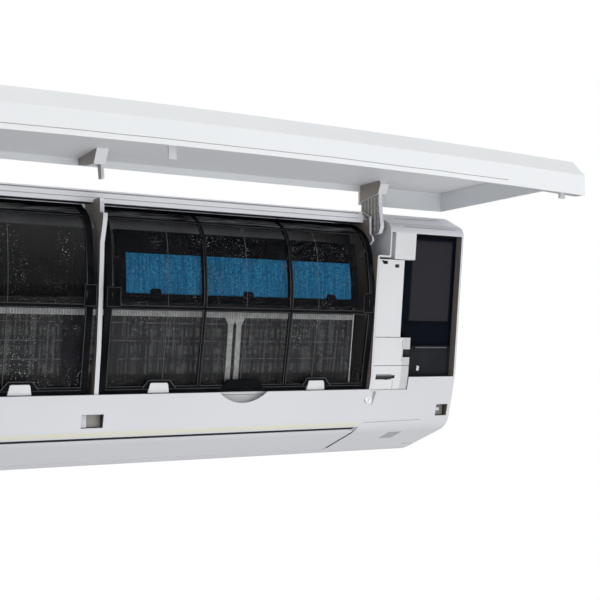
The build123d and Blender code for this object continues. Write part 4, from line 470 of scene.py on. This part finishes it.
CORNERS = {
    "left": (
        ((-0.0690, -0.0065), (-0.0685, 0.0148), (-0.0565, 0.0148), (-0.0565, -0.0065)),
        (
            (-0.3750, -0.0065), (-0.3750, 0.048), (-0.3722, 0.048),
            (-0.3712, 0.0165), (-0.3612, 0.0135), (-0.3612, -0.0065),
        ),
    ),
    "right": (
        ((-0.0455, -0.0065), (-0.0455, 0.0130), (-0.0315, 0.0130), (-0.0310, -0.0065)),
        (
            (0.2612, -0.0065), (0.2612, 0.0135), (0.2712, 0.0165),
            (0.2722, 0.048), (0.2750, 0.048), (0.2750, -0.0065),
        ),
    ),
}

filter_black = moulded_plastic(
    "filter_black", FILTER_BLACK, FILTER_WORN, 0.22, grain=400.0, depth=0.0003, mottle=40.0
)
shader_of(filter_black).inputs["Specular IOR Level"].default_value = 0.0
dress(filter_black, "filter_frame_left", "filter_frame_right", "purifier_holder")
gloss_black = moulded_plastic("gloss_black", (0.012, 0.013, 0.016), (0.02, 0.021, 0.025), 0.16)
thread_grey = moulded_plastic("thread_grey", (0.15, 0.155, 0.16), (0.11, 0.11, 0.115), 0.7)


def screen_material():
    """The fine screen: part see-through, threads both ways, dust specks and lint."""
    material = new_material("filter_screen")
    shader = shader_of(material)
    place = place_of(material)
    weave = noise(material, place_of(material, (1.0, 0.2, 1.0)), THREADS_PER_METRE, 1.0)
    threads = ramp(material, weave, 0.52, 0.72)
    colour = blend_colour(material, threads, SCREEN_BLACK, SCREEN_THREAD)
    streaks = noise(material, place_of(material, (0.07, 1.0, 1.0)), 430.0, 3.0)
    streaks = ramp(material, streaks, 0.42, 0.68)
    top = combine(material, "MULTIPLY", streaks, band_mask(material, "Z", *TOP_BAND))
    colour = blend_colour(material, top, colour, TOP_STREAK)
    specks = ramp(material, noise(material, place, 780.0, 0.0), 0.745, 0.78)
    patches = ramp(material, noise(material, place, 26.0, 3.0), 0.30, 0.70)
    dust = combine(material, "MULTIPLY", specks, patches)
    wire(material, blend_colour(material, dust, colour, SPECK), shader.inputs["Base Color"])
    weave_cover = add_node(material, "ShaderNodeMapRange")
    weave_cover.inputs["To Min"].default_value = SCREEN_COVER - COVER_SWING
    weave_cover.inputs["To Max"].default_value = SCREEN_COVER + COVER_SWING
    wire(material, weave, weave_cover.inputs["Value"])
    cover = weave_cover.outputs["Result"]
    for extra in (dust, band_mask(material, "Z", *TOP_BAND)):
        cover = combine(material, "MAXIMUM", cover, extra)
    wire(material, cover, shader.inputs["Alpha"])
    shader.inputs["Roughness"].default_value = 0.55
    shader.inputs["Specular IOR Level"].default_value = 0.0
    return material


screen = screen_material()
dress(screen, "filter_mesh_left", "filter_mesh_right")


def filter_trim(side):
    """The glossy beads, threads, corner plates, white tabs and thumb grip of one filter."""
    body = f"filter_{side}"
    node = f"filter_frame_{side}"
    low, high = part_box(node)

    def skin(z):
        return front_of(node, low.x + 0.003, z)

    def laid(outline, proud):
        return [(x, skin(z) - proud, z) for x, z in outline]

    start = low.x + BORDER
    width = (high.x - low.x - 2 * BORDER - (FIELDS - 1) * RIB) / FIELDS
    for field in range(FIELDS):
        x_low = start + field * (width + RIB)
        for row, (z_low, z_high) in enumerate(ROWS):
            rises = spread(z_low, z_high, 8)
            around = [(x_low, z) for z in rises] + [(x_low + width, z) for z in reversed(rises)]
            around = laid(around, -0.0002)
            name = f"{side}_rim_{field}_{row}"
            bead(name, body, gloss_black, around, radius=0.0006, closed=True)
        x = THREAD_X[side][field]
        thread = laid([(x, -0.088 + 0.01 * step) for step in range(19)], -0.0010)
        bead(f"{side}_thread_{field}", body, thread_grey, thread, radius=0.0002)
    for i, outline in enumerate(CORNERS[side]):
        corners = laid(outline, 0.0006)
        plate(f"{side}_corner_{i}", body, filter_black, corners, depth=0.0022)
        name = f"{side}_corner_edge_{i}"
        bead(name, body, gloss_black, corners, radius=0.0005, closed=True)
    for i, share in enumerate(TAB_SHARES):
        x = low.x + share * (high.x - low.x)
        face_low = front_of(node, x, TAB_LOW) - TAB_PROUD
        face_high = front_of(node, x, TAB_PROBE) - TAB_PROUD
        cap = []
        for across, z in mirrored(TAB_HALF):
            share_up = (z - TAB_LOW) / (TAB_HIGH - TAB_LOW)
            cap.append((x + across, face_low + (face_high - face_low) * share_up, z))
        plate(f"{side}_tab_{i}", body, cover_white, cap, depth=0.0034, soft=0.0007)
        backing = [(x + across, face_high + 0.0012, z) for across, z in mirrored(ARCH_HALF)]
        plate(f"{side}_tab_backing_{i}", body, filter_black, backing, depth=0.0025)
        rim = [(px, py - 0.0003, pz) for px, py, pz in backing]
        bead(f"{side}_tab_arch_{i}", body, gloss_black, rim, radius=0.0008)
    middle = (low.x + high.x) / 2
    grip = laid([(middle + across, z) for across, z in mirrored(GRIP_HALF)], 0.0018)
    plate(f"{side}_grip", body, filter_black, grip, depth=0.004, soft=0.001)
    ledge = laid([(low.x + LEDGE_INSET, LEDGE_Z), (high.x - LEDGE_INSET, LEDGE_Z)], 0.0)
    bead(f"{side}_ledge", body, gloss_black, ledge, radius=0.0006)


filter_trim("left")
filter_trim("right")


# ---- purifier pads -------------------------------------------------------------------------
# The pads are deep blue pleated paper in a black holder on the back of the right filter. Three
# small black lugs stand at their lower edge.
PAD_BLUE = (0.004, 0.14, 0.34)
PAD_PAINTED_LIGHT = (0.04, 0.42, 0.76)
LUG_X = (0.0082, 0.1150, 0.2200)
LUG_HALF = ((-0.0062, 0.0070), (-0.0058, 0.0112), (-0.0040, 0.0132))
LUG_PROBE = 0.016


def pleated_paper():
    """Blue paper in fine upright pleats, with fuzz, and painted light on the pleat crests."""
    material = new_material("pleated_paper")
    shader = shader_of(material)
    pleats = noise(material, place_of(material, (1.0, 0.05, 0.05)), 700.0, 1.0)
    fuzz = noise(material, place_of(material), 420.0, 3.0)
    crests = ramp(material, pleats, 0.22, 0.66)
    light = combine(material, "MULTIPLY", crests, ramp(material, fuzz, 0.35, 0.60))
    wire(material, blend_colour(material, light, PAD_BLUE, PAD_PAINTED_LIGHT), shader.inputs["Base Color"])
    shader.inputs["Roughness"].default_value = 0.9
    grain_bump(material, pleats, 0.0008, 0.6)
    return material


dress(pleated_paper(), "purifier_pads")
for i, x in enumerate(LUG_X):
    face = front_of("purifier_pads", x, LUG_PROBE) - 0.0012
    lug = [(x + across, face, z) for across, z in mirrored(LUG_HALF)]
    plate(f"pad_lug_{i}", "filter_right", filter_black, lug, depth=0.0016)


# ---- coil ----------------------------------------------------------------------------------
# The coil is a stack of thin aluminium fins on copper tubes. Seen through the screen its fins are
# painted near black as painted shade, with upright streaks of painted light on their edges, crossed
# by faint lines where the tubes run.
FIN_PAINTED_SHADE = (0.022, 0.023, 0.025)
FIN_PAINTED_LIGHT = (0.13, 0.133, 0.136)
ROW_LIGHT = (0.16, 0.16, 0.165)
ROW_START = -0.0220
ROW_PITCH = 0.0188
BELOW_FINS = (-0.2, -0.0755)
UPPER_SLAB = (-0.004, 0.2)
COIL_SHADOW = (0.006, 0.006, 0.007)
STRIP_GREY = (0.80, 0.805, 0.81)
STRIP_TICK = (0.42, 0.425, 0.43)
TICK_PITCH = 0.0029
TICK_ROWS = (-0.0165, 0.02)
COIL_PROBE_X = -0.1
COIL_PROBES = (-0.05, -0.015)
COIL_PROBE_STEP = 0.035
SIDE_SHADE = (-0.0850, -0.0570, -0.088, -0.012)
TONGUE = (
    (0.2485, -0.0325), (0.2500, -0.0345), (0.2530, -0.0345),
    (0.2545, -0.0325), (0.2545, -0.0150), (0.2485, -0.0150),
)


def repeat(material, axis, start, pitch):
    """How far a place is from the nearest line of a row of lines, as a share of their pitch."""
    coordinates = add_node(material, "ShaderNodeTexCoord")
    split = add_node(material, "ShaderNodeSeparateXYZ")
    wire(material, coordinates.outputs["Object"], split.inputs["Vector"])
    turns = add_node(material, "ShaderNodeMath", operation="MULTIPLY_ADD")
    turns.inputs[1].default_value = 1.0 / pitch
    turns.inputs[2].default_value = 0.5 - start / pitch
    wire(material, split.outputs[axis], turns.inputs[0])
    part = add_node(material, "ShaderNodeMath", operation="FRACT")
    wire(material, turns.outputs["Value"], part.inputs[0])
    centred = add_node(material, "ShaderNodeMath", operation="SUBTRACT")
    centred.inputs[1].default_value = 0.5
    wire(material, part.outputs["Value"], centred.inputs[0])
    size = add_node(material, "ShaderNodeMath", operation="ABSOLUTE")
    wire(material, centred.outputs["Value"], size.inputs[0])
    return size.outputs["Value"]


def fin_stack():
    """Painted light on fin edges in upright streaks, painted shade between, tube rows across."""
    material = new_material("fin_stack")
    shader = shader_of(material)
    streaks = noise(material, place_of(material, (1.0, 0.02, 0.02)), 430.0, 1.0)
    patches = noise(material, place_of(material, (1.0, 1.0, 1.6)), 130.0, 3.0)
    edges = ramp(material, streaks, 0.42, 0.62)
    light = combine(material, "MULTIPLY", edges, ramp(material, patches, 0.20, 0.55))
    wire(material, blend_colour(material, light, FIN_PAINTED_SHADE, FIN_PAINTED_LIGHT), shader.inputs["Base Color"])
    off_row = repeat(material, "Z", ROW_START, ROW_PITCH)
    dashes = noise(material, place_of(material, (1.0, 0.1, 0.1)), 330.0, 2.0)
    dashes = ramp(material, dashes, 0.40, 0.58)
    gap = combine(material, "MULTIPLY", ramp(material, off_row, 0.30, 0.22), dashes)
    recolour(material, gap, FIN_PAINTED_SHADE)
    line = ramp(material, off_row, 0.038, 0.018)
    line = combine(material, "MULTIPLY", line, ramp(material, patches, 0.40, 0.60))
    recolour(material, line, ROW_LIGHT)
    for slab in (BELOW_FINS, UPPER_SLAB):
        recolour(material, band_mask(material, "Z", *slab), COIL_SHADOW)
    shader.inputs["Metallic"].default_value = 0.2
    shader.inputs["Roughness"].default_value = 0.55
    grain_bump(material, streaks, 0.001, 0.7)
    return material


def bare_metal(name, colour, roughness, scratch=(1.0, 0.1, 1.0)):
    """Plain metal with fine drawn scratches."""
    material = new_material(name)
    shader = shader_of(material)
    lines = noise(material, place_of(material, scratch), 260.0, 3.0)
    darker = tuple(0.78 * part for part in colour)
    drawn = blend_colour(material, ramp(material, lines, 0.3, 0.7), colour, darker)
    wire(material, drawn, shader.inputs["Base Color"])
    shader.inputs["Metallic"].default_value = 1.0
    shader.inputs["Roughness"].default_value = roughness
    grain_bump(material, lines, 0.0002, 0.3)
    return material


strip_grey = moulded_plastic("strip_grey", STRIP_GREY, (0.46, 0.465, 0.47), 0.5, mottle=160.0)
ticks = ramp(strip_grey, repeat(strip_grey, "X", 0.0, TICK_PITCH), 0.28, 0.16)
ticks = combine(strip_grey, "MULTIPLY", ticks, band_mask(strip_grey, "Z", *TICK_ROWS))
recolour(strip_grey, ticks, STRIP_TICK)
zinc = bare_metal("zinc_sheet", (0.60, 0.61, 0.62), 0.42)
steel = bare_metal("steel", (0.56, 0.56, 0.57), 0.3)
copper = bare_metal("copper", (0.72, 0.36, 0.22), 0.32)
dress(fin_stack(), "coil_fins")
dress(strip_grey, "coil_strips")
dress(zinc, "coil_end_plates", "mounting_plate", "fan_motor", "flap_motor")
dress(steel, "fan_shafts", "hinge_pins", "frame_screws", "terminal_screws")
dress(copper, "coil_tubes", "refrigerant_pipes")
coil_face = front_of("coil_fins", COIL_PROBE_X, COIL_PROBES[0])
coil_rise = front_of("coil_fins", COIL_PROBE_X, COIL_PROBES[1]) - coil_face


def on_coil(outline, proud):
    """An (x, z) outline laid on the slope of the coil's front."""
    laid = []
    for x, z in outline:
        slope = coil_rise * (z - COIL_PROBES[0]) / COIL_PROBE_STEP
        laid.append((x, coil_face + slope - proud, z))
    return laid


shade = on_coil(rectangle(*SIDE_SHADE), 0.0008)
plate("coil_side_shade", "casing", black_seal_and_shade, shade, depth=0.0008)
tongue_grey = moulded_plastic("tongue_grey", (0.05, 0.052, 0.065), (0.03, 0.03, 0.04), 0.5)
plate("coil_tongue", "casing", tongue_grey, on_coil(TONGUE, 0.0018), depth=0.0015)


# ---- fan -----------------------------------------------------------------------------------
# The cross-flow rotor is grey-black glass-filled plastic, and turns in a rubber-cased bearing.
# Both lie behind the coil, so little of them shows.
fan_black = moulded_plastic("fan_black", (0.035, 0.036, 0.04), (0.07, 0.07, 0.075), 0.5)
rubber = moulded_plastic("rubber", (0.02, 0.02, 0.02), (0.035, 0.035, 0.035), 0.8)
dress(fan_black, "fan_rotor")
dress(rubber, "fan_bearing")


# ---- wiring bay ----------------------------------------------------------------------------
# The bay at the right holds a dark box. Its plate has a bare grey label field, and the cover of
# the terminals below carries a ridge and a small clip.
BOX_DARK = (0.021, 0.023, 0.027)
BOX_WORN = (0.028, 0.030, 0.035)
BOX_BLUE = (0.006, 0.008, 0.013)
LABEL_GREY = (0.034, 0.034, 0.039)
BUTTON_SLOT_SHADE = (
    (0.2865, -0.0800), (0.3112, -0.0797), (0.3108, -0.0832), (0.3050, -0.0836),
    (0.2990, -0.0850), (0.2925, -0.0838), (0.2868, -0.0836),
)
SLOT_SHADE_PROBE = (0.2840, -0.0800)
BUTTON_SPLIT = -0.0796
WING_LINES = (("lower_cover", -0.0640, -0.0566), ("lower_cover", -0.0475, -0.0375))
WING = ((0.3200, 0.3330), (-0.10, -0.0335))
WING_GREY = (0.56, 0.57, 0.58)
CLIP_NOTCH_SHADE = (0.3218, 0.3300, -0.0552, -0.0488)
CLIP_PROBE = (0.3180, -0.0520)
TERMINAL_CLIP = ((0.3480, -0.0745), (0.3515, -0.0755), (0.3525, -0.0700), (0.3490, -0.0680))
SEAT_LINE = ((0.3095, -0.0955), (0.3095, -0.0860))
HOLE_POINT_SHADE = ((0.2835, 0.0545), (0.2868, 0.0553), (0.2868, 0.0505))
WING_LINE_X = 0.3198
BOX_BLUE_ROWS = (-0.0450, 0.1)
LABEL_REACH = (0.3335, 0.3915)
LABEL_ROWS = (-0.0145, 0.0815)
RIDGE = ((0.3450, -0.0465), (0.3920, -0.0465))

box_dark = moulded_plastic("box_dark", BOX_DARK, BOX_WORN, 0.5, mottle=30.0)
shader_of(box_dark).inputs["Specular IOR Level"].default_value = 0.0
recolour(box_dark, band_mask(box_dark, "Z", *BOX_BLUE_ROWS), BOX_BLUE)
recolour(box_dark, field_mask(box_dark, LABEL_REACH, LABEL_ROWS), LABEL_GREY)
board_green = moulded_plastic("board_green", (0.02, 0.13, 0.06), (0.03, 0.18, 0.09), 0.35)
dress(box_dark, "control_box", "control_cover", "terminal_cover", "terminal_block")
dress(board_green, "circuit_board", "display_board")

window_grey = moulded_plastic("window_grey", (0.36, 0.37, 0.40), (0.31, 0.32, 0.35), 0.15)
dress(window_grey, "receiver_window")
# The ridge on the terminal cover is lighter as a painted highlight on its crest.
ridge_highlight = moulded_plastic("ridge_highlight", (0.16, 0.17, 0.18), (0.12, 0.125, 0.13), 0.4)
ridge = on_front("terminal_cover", RIDGE, 0.0004)
bead("terminal_ridge", "casing", ridge_highlight, ridge, radius=0.0009)
clip = on_front("terminal_cover", TERMINAL_CLIP, 0.0012)
plate("terminal_clip", "casing", steel, clip, depth=0.0012)
seat_line = on_front("seat_block", SEAT_LINE, 0.0)
bead("seat_line", "casing", line_and_shade_grey, seat_line, radius=0.00025)
# A black plate is painted shade in the slot under the operation button.
slot_shade_y = front_of("seat_block", *SLOT_SHADE_PROBE) - 0.0004
lens = [(x, slot_shade_y, z) for x, z in BUTTON_SLOT_SHADE]
plate("button_shade", "casing", black_seal_and_shade, lens, depth=0.0006, soft=0.0001)
button_face = moulded_plastic("button_face", (0.014, 0.015, 0.018), (0.02, 0.02, 0.024), 0.5)
recolour(button_face, band_mask(button_face, "Z", BUTTON_SPLIT, 0.0), (0.40, 0.41, 0.42))
dress(button_face, "operation_button")
recolour(cover_white, field_mask(cover_white, *WING), WING_GREY)
for i, (node, *ends) in enumerate(WING_LINES):
    line = on_front(node, [(WING_LINE_X, z) for z in ends], 0.0)
    bead(f"wing_line_{i + 1}", "casing", line_and_shade_grey, line, radius=0.00025)
# A black plate is painted shade in the clip's notch.
notch_shade_y = front_of("lower_cover", *CLIP_PROBE) + 0.0003
notch_shade = [(x, notch_shade_y, z) for x, z in rectangle(*CLIP_NOTCH_SHADE)]
plate("clip_notch_shade", "casing", black_seal_and_shade, notch_shade, depth=0.001, soft=0.0001)
# A black plate is painted shade in the pointed hole of the wire cover.
hole_point_shade = on_front("wire_cover", HOLE_POINT_SHADE, 0.0002)
plate("cover_hole_point_shade", "casing", black_seal_and_shade, hole_point_shade, depth=0.0006, soft=0.0001)


# ---- room, light and camera ------------------------------------------------------------------
# A plain pale floor far below and a soft white surround. One large soft lamp hangs above, and two
# weaker ones stand at the right and below.
FLOOR_HEIGHT = -1.9
FLOOR_CORNERS = ((-6, -6), (6, -6), (6, 6), (-6, 6))
FLOOR_GLOW = 0.5
SURROUND = 0.53
CAMERA_PLACE = Vector((-0.3652, -1.169, -0.054))
CAMERA_LOOK = Vector((0.48569, 0.87250, 0.05342))

floor_mesh = bpy.data.meshes.new("floor")
floor_corners = [(x, y, FLOOR_HEIGHT) for x, y in FLOOR_CORNERS]
floor_mesh.from_pydata(floor_corners, [], [(0, 1, 2, 3)])
floor = bpy.data.objects.new("floor", floor_mesh)
bpy.context.scene.collection.objects.link(floor)
floor_white = new_material("floor_white")
floor_shader = shader_of(floor_white)
floor_shader.inputs["Base Color"].default_value = (0.9, 0.9, 0.9, 1)
floor_shader.inputs["Roughness"].default_value = 0.9
floor_seen = add_node(floor_white, "ShaderNodeLightPath")
floor_glow = add_node(floor_white, "ShaderNodeMath", operation="MULTIPLY")
floor_glow.inputs[1].default_value = FLOOR_GLOW
wire(floor_white, floor_seen.outputs["Is Camera Ray"], floor_glow.inputs[0])
wire(floor_white, floor_glow.outputs["Value"], floor_shader.inputs["Emission Strength"])
floor_shader.inputs["Emission Color"].default_value = (1, 1, 1, 1)
floor_mesh.materials.append(floor_white)

world = bpy.data.worlds.new("surround")
bpy.context.scene.world = world
world.use_nodes = True
tree = world.node_tree
background = tree.nodes["Background"]
paths = tree.nodes.new("ShaderNodeLightPath")
strength = tree.nodes.new("ShaderNodeMapRange")
strength.inputs["To Min"].default_value = SURROUND
strength.inputs["To Max"].default_value = 1.0
seen = paths.outputs["Is Camera Ray"]
for kind in ("Is Glossy Ray", "Is Transmission Ray"):
    most = tree.nodes.new("ShaderNodeMath")
    most.operation = "MAXIMUM"
    tree.links.new(seen, most.inputs[0])
    tree.links.new(paths.outputs[kind], most.inputs[1])
    seen = most.outputs["Value"]
tree.links.new(seen, strength.inputs["Value"])
tree.links.new(strength.outputs["Result"], background.inputs["Strength"])
background.inputs["Color"].default_value = (1, 1, 1, 1)


def soft_lamp(name, place, target, size, power):
    """A square lamp that faces a point."""
    data = bpy.data.lights.new(name, "AREA")
    data.size = size
    data.energy = power
    lamp = bpy.data.objects.new(name, data)
    lamp.location = place
    lamp.rotation_euler = (Vector(target) - Vector(place)).to_track_quat("-Z", "Y").to_euler()
    bpy.context.scene.collection.objects.link(lamp)


soft_lamp("lamp_above", (-0.6, -1.6, 1.7), (0, -0.2, 0), 1.4, 17)
soft_lamp("lamp_right", (1.5, -2.2, 0.2), (0.1, -0.2, 0), 1.2, 5)
soft_lamp("lamp_below", (0.3, -1.3, -0.7), (0.1, -0.25, 0.1), 1.4, 8)

camera_data = bpy.data.cameras.new("camera")
camera_data.lens = 60.0
camera_data.sensor_width = 36.0
camera = bpy.data.objects.new("camera", camera_data)
camera.location = CAMERA_PLACE
camera.rotation_euler = CAMERA_LOOK.to_track_quat("-Z", "Y").to_euler()
bpy.context.scene.collection.objects.link(camera)
bpy.context.scene.camera = camera
bpy.context.scene.view_settings.view_transform = "Standard"
